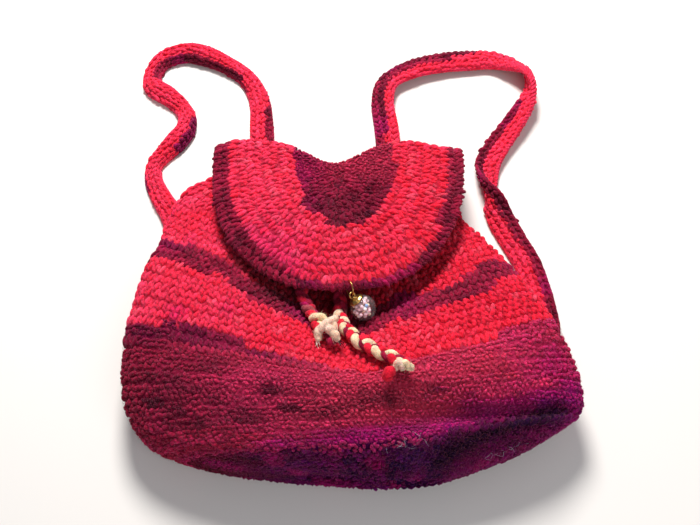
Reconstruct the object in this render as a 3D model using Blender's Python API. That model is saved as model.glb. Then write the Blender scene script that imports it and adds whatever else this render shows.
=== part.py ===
"""Crocheted drawstring backpack, lying on its back.

The body is one hollow crocheted piece (oval base and sides), gathered at the
neck by a braided drawstring.  A U-shaped flap is joined to the back of the
neck and folds over the mouth onto the front.  Two crocheted shoulder straps
run from the back of the neck to the bottom corners.  A split ring through the
tip of the flap carries a glass globe charm.

Metres, +Z up.  The floor is z = 0, the base of the bag looks to -Y, the mouth
to +Y and the front panel up.  The origin is on the flat of the back, where the
bag rests.
"""
import math

import bmesh
import bpy
import numpy as np
from mathutils import Matrix, Vector
from mathutils.bvhtree import BVHTree

MM = 0.001

# ---------------------------------------------------------------- dimensions
WALL = 5.0              # thickness of the crocheted fabric
GAP = 0.3               # clearance between pieces that meet
FLAT = 0.80             # share of the back half that lies dead flat
SEAM_Y = 121.5          # neck edge, where the flap is joined on
NECK_DIP = 24.0         # how far the gathered middle of the neck edge drops
NECK_DIP_X = -13.0
CORNER_RIGHT = 11.0      # sag of the fold at its corners
CORNER_LEFT = 7.0
NECK_DIP_W = 20.5
VALLEY_X = 0.0

FLAP_CX = -9.2          # middle of the flap
FLAP_TOP = 136.0        # centre line of the U-shaped rounds
SEAM_Z = 9.7            # middle of the fabric at the flap's seam
SEAM_SLACK = 1.2
STRAP_T = 5.0
CORD_D = 8.4            # braided drawstring
CORD_CLEAR = 2.0        # how far it lies off the fabric

RING_R = 5.87           # split ring, to the middle of the wire
RING_WIRE = 0.45
LOOP_R = 2.2            # loop on the charm's cap
LOOP_WIRE = 0.6
GLOBE_R = 9.4
GLOBE_WALL = 0.7
CAP_R = 5.6
CHARM_REACH = 12.8      # loop centre to globe centre

# Rounds of the body, from the middle of the base to the mouth (millimetres).
#   yl yr yf yb : y at the left edge, right edge, front middle, back middle
#   xl xr zl zr : x and height of the left and right edges
#   zf zb       : height of the front and of the back
#   val sig     : depth and half width of the hollow down the front middle
#   ex          : how sharply the round dips towards the front middle
#   nd          : share of the gathered neck's dip
#   tuck        : depth of the crease above the base, on the right
BODY_COLUMNS = ("name", "yl", "yr", "yf", "yb", "xl", "xr", "zl", "zr",
                "zf", "zb", "val", "sig", "ex", "nd", "tuck")
BODY_ROUNDS = (
    ("core",      -130, -134, -134, -137,  -30,   62, 20, 26, 34, 14.0,  0, 30, 1.5, 0.0, 0.0),
    ("base",      -127, -116, -125, -133,  -80,  112, 17, 27, 48,  7.0,  0, 30, 1.5, 0.0, 0.0),
    ("rim",       -119,  -97, -117, -126, -114,  147, 16, 28, 57,  2.0,  0, 30, 1.5, 0.0, 0.0),
    ("tuck",      -110,  -90, -105, -118, -136,  155, 22, 30, 59,  0.0,  0, 30, 1.5, 0.0, 9.0),
    ("heel",       -90,  -83,  -93, -106, -151,  158, 28, 32, 63,  0.0,  0, 30, 1.5, 0.0, 3.0),
    ("girth",      -66,  -64,  -82,  -84, -157,  157, 32, 33, 67,  0.0,  1, 30, 1.4, 0.0, 0.0),
    ("loin",       -46,  -44,  -74,  -62, -158,  152, 34, 34, 67,  0.0,  3, 30, 1.3, 0.0, 0.0),
    ("band",       -28,  -24,  -67,  -40, -158,  145, 34, 34, 66,  0.0,  6, 30, 1.3, 0.0, 0.0),
    ("middle",       0,   -6,  -50,  -15, -155,  136, 34, 34, 66,  0.0, 15, 31, 1.3, 0.0, 0.0),
    ("stripe_low",  27,   11,  -34,   10, -150,  125, 33, 33, 63,  0.0, 25, 34, 1.3, 0.0, 0.0),
    ("stripe_top",  41,   26,  -20,   26, -144,  117, 32, 32, 58,  0.0, 29, 46, 1.3, 0.0, 0.0),
    ("shoulder",    66,   45,    6,   48, -141,  105, 30, 30, 47,  0.0, 21, 56, 1.4, 0.0, 0.0),
    ("upper",       92,   64,   38,   66, -133,   91, 28, 28, 40,  1.0, 12, 60, 1.6, 0.0, 0.0),
    ("gather",     112,   88,   66,   82, -110,   75, 24, 25, 33,  6.0,  4, 60, 1.8, 0.3, 0.0),
    ("neck",       112,  108,  101,  103,  -82,   60, 19, 19, 27,  9.6,  0, 60, 2.0, 0.7, 0.0),
    ("mouth",   SEAM_Y, SEAM_Y, SEAM_Y, SEAM_Y, -88, 67, 18, 18, 28, 7.2, 0, 60, 2.0, 1.0, 0.0),
)
BODY = {c: np.array([r[i] for r in BODY_ROUNDS], float) for i, c in enumerate(BODY_COLUMNS) if i}
ROUND = {r[0]: float(i) for i, r in enumerate(BODY_ROUNDS)}

# Height of the flap's fabric along its length (millimetres).
FLAP_COLUMNS = ("y", "z_mid", "z_edge")
FLAP_HEIGHTS = (
    (-20,  48, 48),
    (-7,   50.3, 49),
    (3,    52.5, 50),
    (15,   55, 51),
    (32,   55.5, 50),
    (60,   51.5, 48),
    (85,   46.5, 46),
    (105,  42.5, 44.5),
    (124,  40.5, 43.5),
    (150,  38, 42),
)

# Rounds of the flap: half width, length below FLAP_TOP, squareness.
FLAP_SHAPE = (("spine", 0.0, 52.0, 1.8), ("centre", 44.0, 93.0, 1.8), ("edge", 100.2, 142.8, 2.55))

# Shoulder straps: x, y and roll of the strip (degrees), from the back of the
# neck, round the loop that lies on the floor, to the bottom corner.
STRAP_COLUMNS = ("x", "y", "roll", "crown", "width")
STRAP_LEFT = (
    (-74, 121,   0, 0.0, 21.5),
    (-74, 136,   0, 0.5, 21.5),
    (-76, 152,   0, 2.5, 21.5),
    (-78, 180,   4, 3.5, 21.0),
    (-82, 213,   2, 3.8, 19.0),
    (-94.5, 237, -14, 4.2, 17.0),
    (-115, 253, -26, 4.2, 17.0),
    (-137, 264, -30, 3.8, 20.0),
    (-156, 268.5, -26, 3.5, 19.5),
    (-175.5, 261, -14, 3.8, 18.5),
    (-183.5, 244,   4, 3.8, 17.5),
    (-180, 227,  18, 3.5, 19.0),
    (-167, 217,  20, 3.8, 18.0),
    (-154, 207,   4, 4.2, 16.5),
    (-145, 194, -14, 4.2, 16.0),
    (-144, 178, -20, 4.0, 17.5),
    (-151, 163, -22, 3.8, 19.0),
    (-161.5, 151, -10, 4.0, 16.5),
    (-168.5, 138,   0, 4.2, 14.5),
    (-166.5, 123,   0, 4.2, 15.0),
    (-158.5, 107,   0, 3.4, 17.0),
    (-148, 90,   0, 1.5, 18.5),
    (-140.5, 72,   0, 0.0, 20.0),
    (-137,  48,   0, 0.0, 21.5),
    (-134,  10,   0, 0.0, 21.5),
    (-132, -35,   0, 0.0, 21.5),
    (-126, -78,   0, 0.0, 21.5),
)
STRAP_RIGHT = (
    (35, 121,   0, 0.0, 22.0),
    (35, 136,   0, 0.5, 22.0),
    (34, 152,  -4, 2.5, 22.0),
    (31.5, 180, -14, 3.5, 21.5),
    (28.5, 209, -20, 3.5, 21.0),
    (34, 233.5, -18, 3.5, 22.5),
    (56, 250, -14, 3.5, 26.0),
    (84, 259, -10, 3.5, 27.0),
    (112, 262.5,  -8, 3.5, 26.5),
    (131.5, 263, -10, 3.5, 25.0),
    (148.5, 255.5, -26, 3.5, 23.5),
    (161.5, 241.5, -56, 3.0, 23.0),
    (164, 224, -96, 2.5, 22.0),
    (157, 203, -140, 2.5, 22.0),
    (143, 180, -160, 2.5, 22.0),
    (128, 158, -172, 2.5, 22.0),
    (117, 137, -190, 2.5, 22.0),
    (114, 112, -244, 2.5, 22.0),
    (119.5,  88, -318, 2.5, 22.0),
    (130.5,  64, -344, 2.5, 21.5),
    (140.5,  42, -352, 1.5, 21.5),
    (145.5,  20, -360, 0.0, 22.0),
    (147.5,   2, -360, 0.0, 22.0),
    (148, -16, -360, 0.0, 22.0),
    (142, -38, -360, 0.0, 22.0),
    (133, -58, -360, 0.0, 22.0),
    (122, -80, -360, 0.0, 22.0),
)

# Drawstring: left tail from its end to the neck, round the neck, right tail.
#   rise : height of the cord's middle over the fabric below it
CORD_COLUMNS = ("x", "y", "rise")
CORD_LEFT_TAIL = (
    (-2.5, -61.5, 4.6),
    (-8.0, -54.5, 4.6),
    (-14.0, -46.5, 4.8),
    (-19.5, -38.0, 5.2),
    (-25.0, -29.0, 5.6),
    (-30.5, -19.5, 6.0),
    (-34.5, -8.0, 6.0),
    (-36.0, 8.0, 5.6),
    (-35.0, 35.0, 5.0),
    (-31.0, 60.0, 4.8),
    (-25.0, 78.0, 4.8),
    (-26.0, 93.0, 4.8),
    (-38.0, 100.0, 4.8),
)
CORD_RIGHT_TAIL = (
    (14.0, 101.0, 4.8),
    (4.0, 93.0, 4.8),
    (2.0, 78.0, 4.8),
    (-1.0, 60.0, 4.8),
    (-5.0, 35.0, 5.0),
    (-7.0, 8.0, 5.6),
    (-7.5, -9.0, 5.8),
    (-7.0, -21.0, 5.6),
    (-5.0, -31.5, 5.2),
    (-0.8, -41.5, 4.8),
    (6.2, -51.0, 4.6),
    (14.5, -58.0, 4.6),
    (23.5, -64.0, 4.6),
    (32.0, -69.5, 4.6),
    (40.0, -74.5, 4.6),
)

# Charm: where the loop hangs on the ring, and the way the globe points.
LINK = np.array((1.94, -11.14, 52.01))
LOOP_SHIFT = np.array((-0.35, -0.40, -0.10))
CHARM_WAY = np.array((0.6008, -0.4113, -0.6855))
LOOP_LEAN = np.array((0.0, 0.0, 1.0))
RING_LEAN = np.array((0.176, 0.213, 0.961))
RING_BACK = np.array((-0.362, 0.922, -0.138))

COLOURS = {
    "red":      (0.80, 0.045, 0.095, 1),
    "burgundy": (0.16, 0.012, 0.045, 1),
    "plum":     (0.10, 0.010, 0.075, 1),
    "cream":    (0.66, 0.50, 0.32, 1),
    "gold":     (0.72, 0.48, 0.16, 1),
    "glass":    (0.95, 0.92, 0.95, 1),
    "pearl":    (0.88, 0.72, 0.76, 1),
}


# ------------------------------------------------------------------- helpers
def catmull(values, t):
    """Smooth curve through a column of values, read at t (0 .. n-1)."""
    v = np.asarray(values, float)
    t = np.clip(np.asarray(t, float), 0.0, len(v) - 1.0)
    i = np.minimum(t.astype(int), len(v) - 2)
    f = t - i
    p0, p1 = v[np.maximum(i - 1, 0)], v[i]
    p2, p3 = v[i + 1], v[np.minimum(i + 2, len(v) - 1)]
    return p1 + 0.5 * f * (p2 - p0 + f * (2 * p0 - 5 * p1 + 4 * p2 - p3
                                          + f * (3 * (p1 - p2) + p3 - p0)))


def smooth(edge0, edge1, x):
    t = np.clip((np.asarray(x, float) - edge0) / (edge1 - edge0), 0.0, 1.0)
    return t * t * (3 - 2 * t)


def unit(v):
    v = np.asarray(v, float)
    return v / np.linalg.norm(v)


def neck_dip(x):
    """How far the neck edge and the fold over it drop: the gathered middle,
    and the corners, which sag."""
    middle = NECK_DIP * np.exp(-((x - NECK_DIP_X) / NECK_DIP_W) ** 2 / 2)
    return middle + CORNER_RIGHT * smooth(42, 92, x) + CORNER_LEFT * smooth(88, 110, -x)


def strap_ring(roll, crown, width):
    """Cross-section of a strap: (across, up) before and after its roll."""
    w, t = width / 2, STRAP_T / 2
    top = ((w, 0.35 * t), (w - 2.0, t), (0, t), (-w + 2.0, t), (-w, 0.35 * t))
    low = ((-w, -0.35 * t), (-w + 2.0, -t), (0, -t), (w - 2.0, -t), (w, -0.35 * t))
    ring = np.array(top + low)
    ring[:, 1] -= crown * (ring[:, 0] / w) ** 2
    c, s = math.cos(roll), math.sin(roll)
    turned = np.stack([ring[:, 0] * c + ring[:, 1] * s, ring[:, 1] * c - ring[:, 0] * s], 1)
    return turned


def strap_rows(table, count):
    """Centre line and turned cross-sections of a strap, evenly spaced."""
    rows = np.array(table, float)
    t = np.linspace(0, len(rows) - 1, 1201)
    cols = [catmull(rows[:, i], t) for i in range(5)]
    xy = np.stack(cols[:2], 1)
    run = np.concatenate([[0], np.cumsum(np.linalg.norm(np.diff(xy, axis=0), axis=1))])
    even = np.linspace(0, run[-1], count)
    x, y, roll, crown, width = [np.interp(even, run, c) for c in cols]
    rings = [strap_ring(math.radians(a), max(c, 0.0), w) for a, c, w in zip(roll, crown, width)]
    z = np.array([GAP + 0.1 - r[:, 1].min() for r in rings])
    return np.stack([x, y, z], 1), rings


HIDDEN = {}


def strap_lift(x, y):
    """The back of the bag rides up over the straps that run under it."""
    low = np.full(np.shape(x), 1e9)
    for line in HIDDEN.values():
        for p in line:
            low = np.minimum(low, np.hypot(x - p[0], y - p[1]))
    return (STRAP_T + 2 * GAP + 0.6) * (1 - smooth(17, 34, low))


def body_point(s, a):
    """Outer surface of the body: s is the round, a the angle round the bag."""
    s, a = np.broadcast_arrays(np.asarray(s, float), np.asarray(a, float))
    g = {c: catmull(BODY[c], s) for c in BODY}
    c, sn = np.cos(a), np.sin(a)
    xn = np.sign(c) * np.abs(c) ** 0.85
    x = (g["xl"] + g["xr"]) / 2 + (g["xr"] - g["xl"]) / 2 * xn
    t = (xn + 1) / 2
    ys = g["yl"] + (g["yr"] - g["yl"]) * t
    zs = g["zl"] + (g["zr"] - g["zl"]) * t
    ym = (g["yl"] + g["yr"]) / 2
    dip = 1 - np.abs(xn) ** g["ex"]
    up = np.clip(sn, 0, 1)
    dn = np.clip(-sn, 0, 1)
    front = sn >= 0
    zf = zs + (g["zf"] - zs) * up ** 0.85
    zf = zf - g["val"] * np.exp(-((x - VALLEY_X) / g["sig"]) ** 2 / 2) * up ** 0.5
    zf = zf - g["tuck"] * smooth(-0.1, 0.5, xn) * up
    zb = zs + (g["zb"] - zs) * np.sin(math.pi / 2 * np.clip(dn / FLAT, 0, 1))
    y = ys + np.where(front, g["yf"] - ym, g["yb"] - ym) * dip
    y = y - g["nd"] * neck_dip(x)
    z = np.where(front, zf, zb)
    z = np.where(front, z, np.maximum(z, strap_lift(x, y)))
    return np.stack([x, y, z], -1)


def body_normal(s, a):
    e = 1e-3
    last = len(BODY_ROUNDS) - 1
    ds = body_point(np.minimum(s + e, last), a) - body_point(np.maximum(s - e, 0), a)
    da = body_point(s, a + e) - body_point(s, a - e)
    n = np.cross(ds, da)
    n /= np.maximum(np.linalg.norm(n, axis=-1, keepdims=True), 1e-12)
    return n


def flap_round(k, u):
    """Flat pattern of the flap: k runs from its middle line to its edge, u
    from the left end of a round, down, across the tip and up to the right."""
    k, u = np.broadcast_arrays(np.asarray(k, float), np.asarray(u, float))
    shape = np.array([r[1:] for r in FLAP_SHAPE])
    stops = np.array([0.0, shape[1, 0] / shape[2, 0], 1.0])
    half = np.interp(k, stops, shape[:, 0])
    deep = np.interp(k, stops, shape[:, 1])
    square = np.interp(k, stops, shape[:, 2])
    side = 0.27                             # share of u in each straight side
    w = np.clip((u - side) / (1 - 2 * side), 0, 1)
    phi = math.pi * (1 - w)
    c, s = np.cos(phi), np.abs(np.sin(phi))
    x = FLAP_CX + half * np.sign(c) * np.abs(c) ** (2 / square)
    y = FLAP_TOP - deep * s ** (2 / square)
    over = np.maximum(side - u, u - (1 - side)) / side
    # the straight sides run on, up and round the fold, to the seam
    last = fold_start(x) + math.pi * fold_radius(x) + 3.0 - SEAM_SLACK
    y = np.where(over > 0, FLAP_TOP + (last - FLAP_TOP) * np.clip(over, 0, 1), y)
    return x, y


def flap_height(x, y):
    rows = np.array(FLAP_HEIGHTS, float)
    t = np.interp(y, rows[:, 0], np.arange(len(rows)))
    mid, edge = catmull(rows[:, 1], t), catmull(rows[:, 2], t)
    r = np.clip(np.abs(x - FLAP_CX) / FLAP_SHAPE[-1][1], 0, 1.1)
    return mid + (edge - mid) * r ** 2


def fold_start(x):
    return SEAM_Y + GAP + 3.0 - neck_dip(x)


def fold_radius(x):
    return (flap_height(x, fold_start(x)) - SEAM_Z) / 2


def flap_point(x, y):
    """Middle of the flap's fabric, from its flat pattern: over the front as
    it lies, then round the fold and under to the seam."""
    f, r = fold_start(x), fold_radius(x)
    top = flap_height(x, f)
    q = np.maximum(y - f, 0)
    th = np.clip(q / r, 0, math.pi)
    rest = np.maximum(q - math.pi * r, 0)
    yy = np.where(q > 0, f + r * np.sin(th) - rest, y)
    zz = np.where(q > 0, top - r * (1 - np.cos(th)), flap_height(x, y))
    return np.stack([x + 0 * yy, yy, zz], -1)


def flap_normal(x, y):
    e = 0.05
    dx = flap_point(x + e, y) - flap_point(x - e, y)
    dy = flap_point(x, y + e) - flap_point(x, y - e)
    n = np.cross(dx, dy)
    return n / np.maximum(np.linalg.norm(n, axis=-1, keepdims=True), 1e-12)


# ----------------------------------------------------------- building pieces
def material(name, rough, metallic=0.0, transmission=0.0):
    m = bpy.data.materials.new(name)
    m.use_nodes = True
    b = m.node_tree.nodes["Principled BSDF"]
    b.inputs["Base Color"].default_value = COLOURS[name]
    b.inputs["Roughness"].default_value = rough
    b.inputs["Metallic"].default_value = metallic
    b.inputs["Transmission Weight"].default_value = transmission
    return m


def piece(name, verts, faces, mat, merge=0.0):
    mesh = bpy.data.meshes.new(name)
    mesh.from_pydata([tuple(float(c) * MM for c in v) for v in verts], [], faces)
    bm = bmesh.new()
    bm.from_mesh(mesh)
    if merge:
        bmesh.ops.remove_doubles(bm, verts=bm.verts, dist=merge)
        bmesh.ops.dissolve_degenerate(bm, edges=bm.edges, dist=1e-7)
    bmesh.ops.recalc_face_normals(bm, faces=bm.faces)
    bmesh.ops.triangulate(bm, faces=bm.faces)
    bm.to_mesh(mesh)
    bm.free()
    mesh.materials.append(mat)
    mesh.shade_smooth()
    ob = bpy.data.objects.new(name, mesh)
    bpy.context.scene.collection.objects.link(ob)
    return ob


def grid_faces(rows, cols, start=0, closed=True, flip=False):
    out = []
    for i in range(rows - 1):
        for j in range(cols if closed else cols - 1):
            a = start + i * cols + j
            b = start + i * cols + (j + 1) % cols
            q = (a, b, b + cols, a + cols)
            out.append(q[::-1] if flip else q)
    return out


def make_body(mat):
    around = 40
    ang = np.arange(around) / around * 2 * math.pi
    outer_s = np.array([0, 0.7, 1.4, 2, 2.5, 3, 3.5, 4, 4.6, 5.3, 6, 6.7, 7.4, 8.1, 8.8, 9.5,
                        10.2, 11, 11.7, 12.3, 12.8, 13.3, 13.7, 14.2, 15])
    inner_s = np.array([15, 14.2, 13.7, 13.2, 12.6, 11.8, 11, 10.2, 9.4, 8.6, 7.8, 7, 6.2, 5.4,
                        4.7, 4, 3.3, 2.7, 2.1, 1.5, 0.9, 0.2])
    verts, faces = [], []
    for s in outer_s:
        verts += list(body_point(s, ang))
    faces += grid_faces(len(outer_s), around)
    start = len(verts)
    for s in inner_s:
        p = body_point(s, ang) - WALL * body_normal(np.full(around, s), ang)
        if s == 15:
            p[:, 1] = body_point(s, ang)[:, 1]
        verts += list(p)
    faces += grid_faces(len(inner_s), around, start)
    ends = (len(outer_s) - 1) * around
    for j in range(around):
        k = (j + 1) % around
        faces.append((ends + j, ends + k, start + k, start + j))
    pole_out, pole_in = len(verts), len(verts) + 1
    first = np.array(verts[:around])
    verts.append(first.mean(0) + (0, -0.8, 0))
    tail = len(verts) - 1 - around
    last = np.array(verts[tail:tail + around])
    verts.append(last.mean(0) + (0, -0.4, 0))
    for j in range(around):
        k = (j + 1) % around
        faces.append((k, j, pole_out))
        faces.append((tail + j, tail + k, pole_in))
    return piece("bag_body", verts, faces, mat)


def make_flap(mat):
    ks = np.array([0, 0.16, 0.32, 0.48, 0.64, 0.80, 0.93, 1.0])
    us = np.concatenate([np.linspace(0, 0.27, 13)[:-1], np.linspace(0.27, 0.73, 19)[:-1],
                         np.linspace(0.73, 1, 13)])
    kk, uu = np.meshgrid(ks, us, indexing="ij")
    x, y = flap_round(kk, uu)
    mid, n = flap_point(x, y), flap_normal(x, y)
    cols = len(us)
    thin = np.where(kk >= 0.999, 0.62, 1.0)[..., None] * WALL / 2
    top = (mid + n * thin).reshape(-1, 3)
    low = (mid - n * thin).reshape(-1, 3)
    verts = list(top) + list(low)
    m = len(top)
    faces = grid_faces(len(ks), cols, 0, closed=False)
    faces += grid_faces(len(ks), cols, m, closed=False, flip=True)
    edge = (len(ks) - 1) * cols
    for j in range(cols - 1):
        faces.append((edge + j, edge + j + 1, m + edge + j + 1, m + edge + j))
    for end in (0, cols - 1):
        for i in range(len(ks) - 1):
            a, b = i * cols + end, (i + 1) * cols + end
            faces.append((a, b, m + b, m + a))
    ob = piece("flap", verts, faces, mat, merge=1e-6)
    return ob


def make_strap(name, table, mat):
    count = 54
    centre, rings = strap_rows(table, count)
    tang = np.gradient(centre, axis=0)
    tang[:, 2] = 0
    tang /= np.linalg.norm(tang, axis=1, keepdims=True)
    side = np.stack([tang[:, 1], -tang[:, 0], 0 * tang[:, 0]], 1)      # to the right of the run
    verts = []
    for i in range(count):
        for p, q in rings[i]:
            verts.append(centre[i] + side[i] * p + np.array((0, 0, q)))
    n = len(rings[0])
    faces = grid_faces(count, n)
    faces.append(tuple(range(n)))
    faces.append(tuple((count - 1) * n + j for j in reversed(range(n))))
    return piece(name, verts, faces, mat)


def outer_skin():
    """The outside of the body alone, to lay the drawstring on."""
    rows = np.linspace(0, len(BODY_ROUNDS) - 1, 90)
    ang = np.arange(80) / 80 * 2 * math.pi
    verts = [tuple(v * MM) for s in rows for v in body_point(s, ang)]
    return BVHTree.FromPolygons(verts, grid_faces(len(rows), 80, flip=True))


def height_below(tree, x, y):
    hit = tree.ray_cast(Vector((x * MM, y * MM, 0.2)), Vector((0, 0, -1)))
    return hit[0].z / MM


def cord_route(tree):
    """Middle line of the drawstring, end to end, lying on the fabric."""
    left = [(x, y, height_below(tree, x, y) + r) for x, y, r in CORD_LEFT_TAIL]
    right = [(x, y, height_below(tree, x, y) + r) for x, y, r in CORD_RIGHT_TAIL]
    turns = np.radians(np.linspace(116, 424, 15))
    s = np.full(len(turns), ROUND["neck"])
    p, n = body_point(s, turns), body_normal(s, turns)
    n[:, 1] = 0
    n /= np.linalg.norm(n, axis=1, keepdims=True)
    loop = p + n * (CORD_D / 2 + 0.6)
    pts = np.array(left + [tuple(v) for v in loop] + right)
    t = np.linspace(0, len(pts) - 1, 400)
    line = np.stack([catmull(pts[:, i], t) for i in range(3)], 1)
    for turn in range(30):
        line[1:-1] = 0.5 * line[1:-1] + 0.25 * (line[:-2] + line[2:])
        for i, q in enumerate(line):
            near, way, _, dist = tree.find_nearest(Vector(q) * MM)
            out = np.array(Vector(q) * MM - near)
            if out.dot(np.array(way)) < 0:
                out, dist = np.array(way), -dist
            if dist / MM < CORD_D / 2 + CORD_CLEAR:
                line[i] = np.array(near) / MM + unit(out) * (CORD_D / 2 + CORD_CLEAR)
        line[:, 2] = np.maximum(line[:, 2], CORD_D / 2 + 0.3)
    return line


def make_cord(tree, mat):
    line = cord_route(tree)
    run = np.concatenate([[0], np.cumsum(np.linalg.norm(np.diff(line, axis=0), axis=1))])
    even = np.linspace(0, run[-1], 76)
    line = np.stack([np.interp(even, run, line[:, i]) for i in range(3)], 1)
    cu = bpy.data.curves.new("drawstring", "CURVE")
    cu.dimensions = "3D"
    cu.bevel_depth = CORD_D / 2 * MM
    cu.bevel_resolution = 2
    cu.use_fill_caps = True
    sp = cu.splines.new("POLY")
    sp.points.add(len(line) - 1)
    for q, p in zip(sp.points, line):
        q.co = (p[0] * MM, p[1] * MM, p[2] * MM, 1)
    cu.materials.append(mat)
    ob = bpy.data.objects.new("drawstring", cu)
    bpy.context.scene.collection.objects.link(ob)
    return ob, run[-1]


def basis(z_way, x_way):
    z = unit(z_way)
    x = unit(np.asarray(x_way, float) - z * np.dot(x_way, z))
    return x, np.cross(z, x), z


def torus(centre, axis, r, wire, major, minor, name, mat):
    x, y, z = basis(axis, (0.3, 0.9, 0.2))
    verts = []
    for i in range(major):
        t = 2 * math.pi * i / major
        out = x * math.cos(t) + y * math.sin(t)
        for j in range(minor):
            f = 2 * math.pi * j / minor
            verts.append(centre + out * (r + wire * math.cos(f)) + z * wire * math.sin(f))
    faces = []
    for i in range(major):
        for j in range(minor):
            a, b = i * minor + j, i * minor + (j + 1) % minor
            c, d = ((i + 1) % major) * minor + (j + 1) % minor, ((i + 1) % major) * minor + j
            faces.append((a, b, c, d))
    return piece(name, verts, faces, mat)


def lathe(centre, axis, profile, sides, name, mat):
    """Closed profile of (radius, distance along the axis); 0 radius is a pole."""
    x, y, z = basis(axis, (0.3, 0.2, 0.9))
    verts, rings = [], []
    for r, h in profile:
        if r <= 1e-9:
            rings.append([len(verts)])
            verts.append(centre + z * h)
        else:
            rings.append(list(range(len(verts), len(verts) + sides)))
            for i in range(sides):
                t = 2 * math.pi * i / sides
                verts.append(centre + (x * math.cos(t) + y * math.sin(t)) * r + z * h)
    faces = []
    pairs = list(zip(rings[:-1], rings[1:]))
    if len(rings[0]) > 1:
        pairs.append((rings[-1], rings[0]))
    for p, q in pairs:
        for i in range(sides):
            k = (i + 1) % sides
            if len(p) == 1 and len(q) > 1:
                faces.append((p[0], q[i], q[k]))
            elif len(q) == 1 and len(p) > 1:
                faces.append((p[i], p[k], q[0]))
            elif len(p) > 1 and len(q) > 1:
                faces.append((p[i], p[k], q[k], q[i]))
    return piece(name, verts, faces, mat)


def boolean(target, tool, operation):
    mod = target.modifiers.new(operation.lower(), "BOOLEAN")
    mod.operation = operation
    mod.solver = "EXACT"
    mod.object = tool
    tool.hide_render = True
    tool.display_type = "WIRE"


def charm_frame():
    d = unit(CHARM_WAY)
    t = unit(LOOP_LEAN - d * np.dot(LOOP_LEAN, d))
    return d, t


def ring_frame():
    w = unit(RING_BACK)
    t = unit(RING_LEAN - w * np.dot(RING_LEAN, w))
    return t, w


def make_charm(flap, gold, glass, pearl):
    d, t = charm_frame()
    up, w = ring_frame()
    ring_centre = LINK + w * RING_R
    ring_axis = np.cross(up, w)
    torus(ring_centre, ring_axis, RING_R, RING_WIRE, 28, 6, "ring", gold)
    # eyelet between the stitches at the tip of the flap
    best = None
    for deg in np.linspace(90, 270, 361):
        f = math.radians(deg)
        p = ring_centre - w * RING_R * math.cos(f) + up * RING_R * math.sin(f)
        off = abs(p[2] - float(flap_height(np.array(p[0]), np.array(p[1]))))
        if best is None or off < best[0]:
            best = (off, p)
    hole = best[1]
    n = flap_normal(np.array([hole[0]]), np.array([hole[1]]))[0]
    hx, hy, hz = basis(n, (1, 0, 0))
    cut = lathe(hole, hz, ((0, -7), (1.9, -7), (1.9, 7), (0, 7)), 12, "eyelet_cutter", gold)
    boolean(flap, cut, "DIFFERENCE")

    loop_centre = LINK + LOOP_SHIFT
    globe_centre = loop_centre + d * CHARM_REACH
    loop = torus(loop_centre, t, LOOP_R, LOOP_WIRE, 16, 6, "loop_tool", gold)
    loop.name = "cap_loop_tool"
    g = GLOBE_R
    mouth = 3.4
    hm = math.sqrt(g * g - mouth * mouth)
    crown = -(CHARM_REACH - LOOP_R + LOOP_WIRE * 0.4)
    seat = g + GAP + 0.05                   # the cap's inside follows the glass

    def inside(r):
        return -math.sqrt(seat * seat - r * r)

    cap_profile = ((0, crown), (1.4, crown + 0.05), (2.4, crown + 0.45), (3.4, inside(3.4) - 1.05),
                   (4.6, inside(4.6) - 0.85), (CAP_R, inside(CAP_R) - 0.5), (CAP_R, inside(CAP_R) + 0.15),
                   (CAP_R - 0.6, inside(CAP_R - 0.6)), (3.6, inside(3.6)), (1.8, inside(1.8)), (0, inside(0)))
    cap = lathe(globe_centre, d, cap_profile, 16, "cap", gold)
    boolean(cap, loop, "UNION")
    # glass globe, open under the cap
    outer = [(g * math.sin(q), -g * math.cos(q)) for q in np.linspace(math.asin(mouth / g), math.pi, 11)]
    gi = g - GLOBE_WALL
    inner = [(gi * math.sin(q), -gi * math.cos(q)) for q in np.linspace(math.pi, math.asin(mouth / gi), 10)]
    profile = [(0.0 if r < 1e-6 else r, h) for r, h in outer + inner]
    lathe_shell(globe_centre, d, profile, 18, "globe", glass)
    gp = gi - GAP - 0.3
    balls = [(gp * math.sin(q), -gp * math.cos(q)) for q in np.linspace(math.radians(48), math.pi, 8)]
    top = balls[0]
    profile = [(0.0, top[1])] + [(0.0 if r < 1e-6 else r, h) for r, h in balls]
    lathe(globe_centre, d, profile, 14, "pearls", pearl)
    return loop_centre, globe_centre, t


def lathe_shell(centre, axis, profile, sides, name, mat):
    """Turned shell whose profile touches the axis twice in a row (outer and
    inner pole) and is otherwise closed by its rim."""
    x, y, z = basis(axis, (0.3, 0.2, 0.9))
    verts, rings = [], []
    for r, h in profile:
        if r <= 1e-9:
            rings.append([len(verts)])
            verts.append(centre + z * h)
        else:
            rings.append(list(range(len(verts), len(verts) + sides)))
            for i in range(sides):
                t = 2 * math.pi * i / sides
                verts.append(centre + (x * math.cos(t) + y * math.sin(t)) * r + z * h)
    faces = []
    for p, q in list(zip(rings[:-1], rings[1:])) + [(rings[-1], rings[0])]:
        if len(p) == 1 and len(q) == 1:
            continue
        for i in range(sides):
            k = (i + 1) % sides
            if len(p) == 1:
                faces.append((p[0], q[i], q[k]))
            elif len(q) == 1:
                faces.append((p[i], p[k], q[0]))
            else:
                faces.append((p[i], p[k], q[k], q[i]))
    return piece(name, verts, faces, mat)


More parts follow.
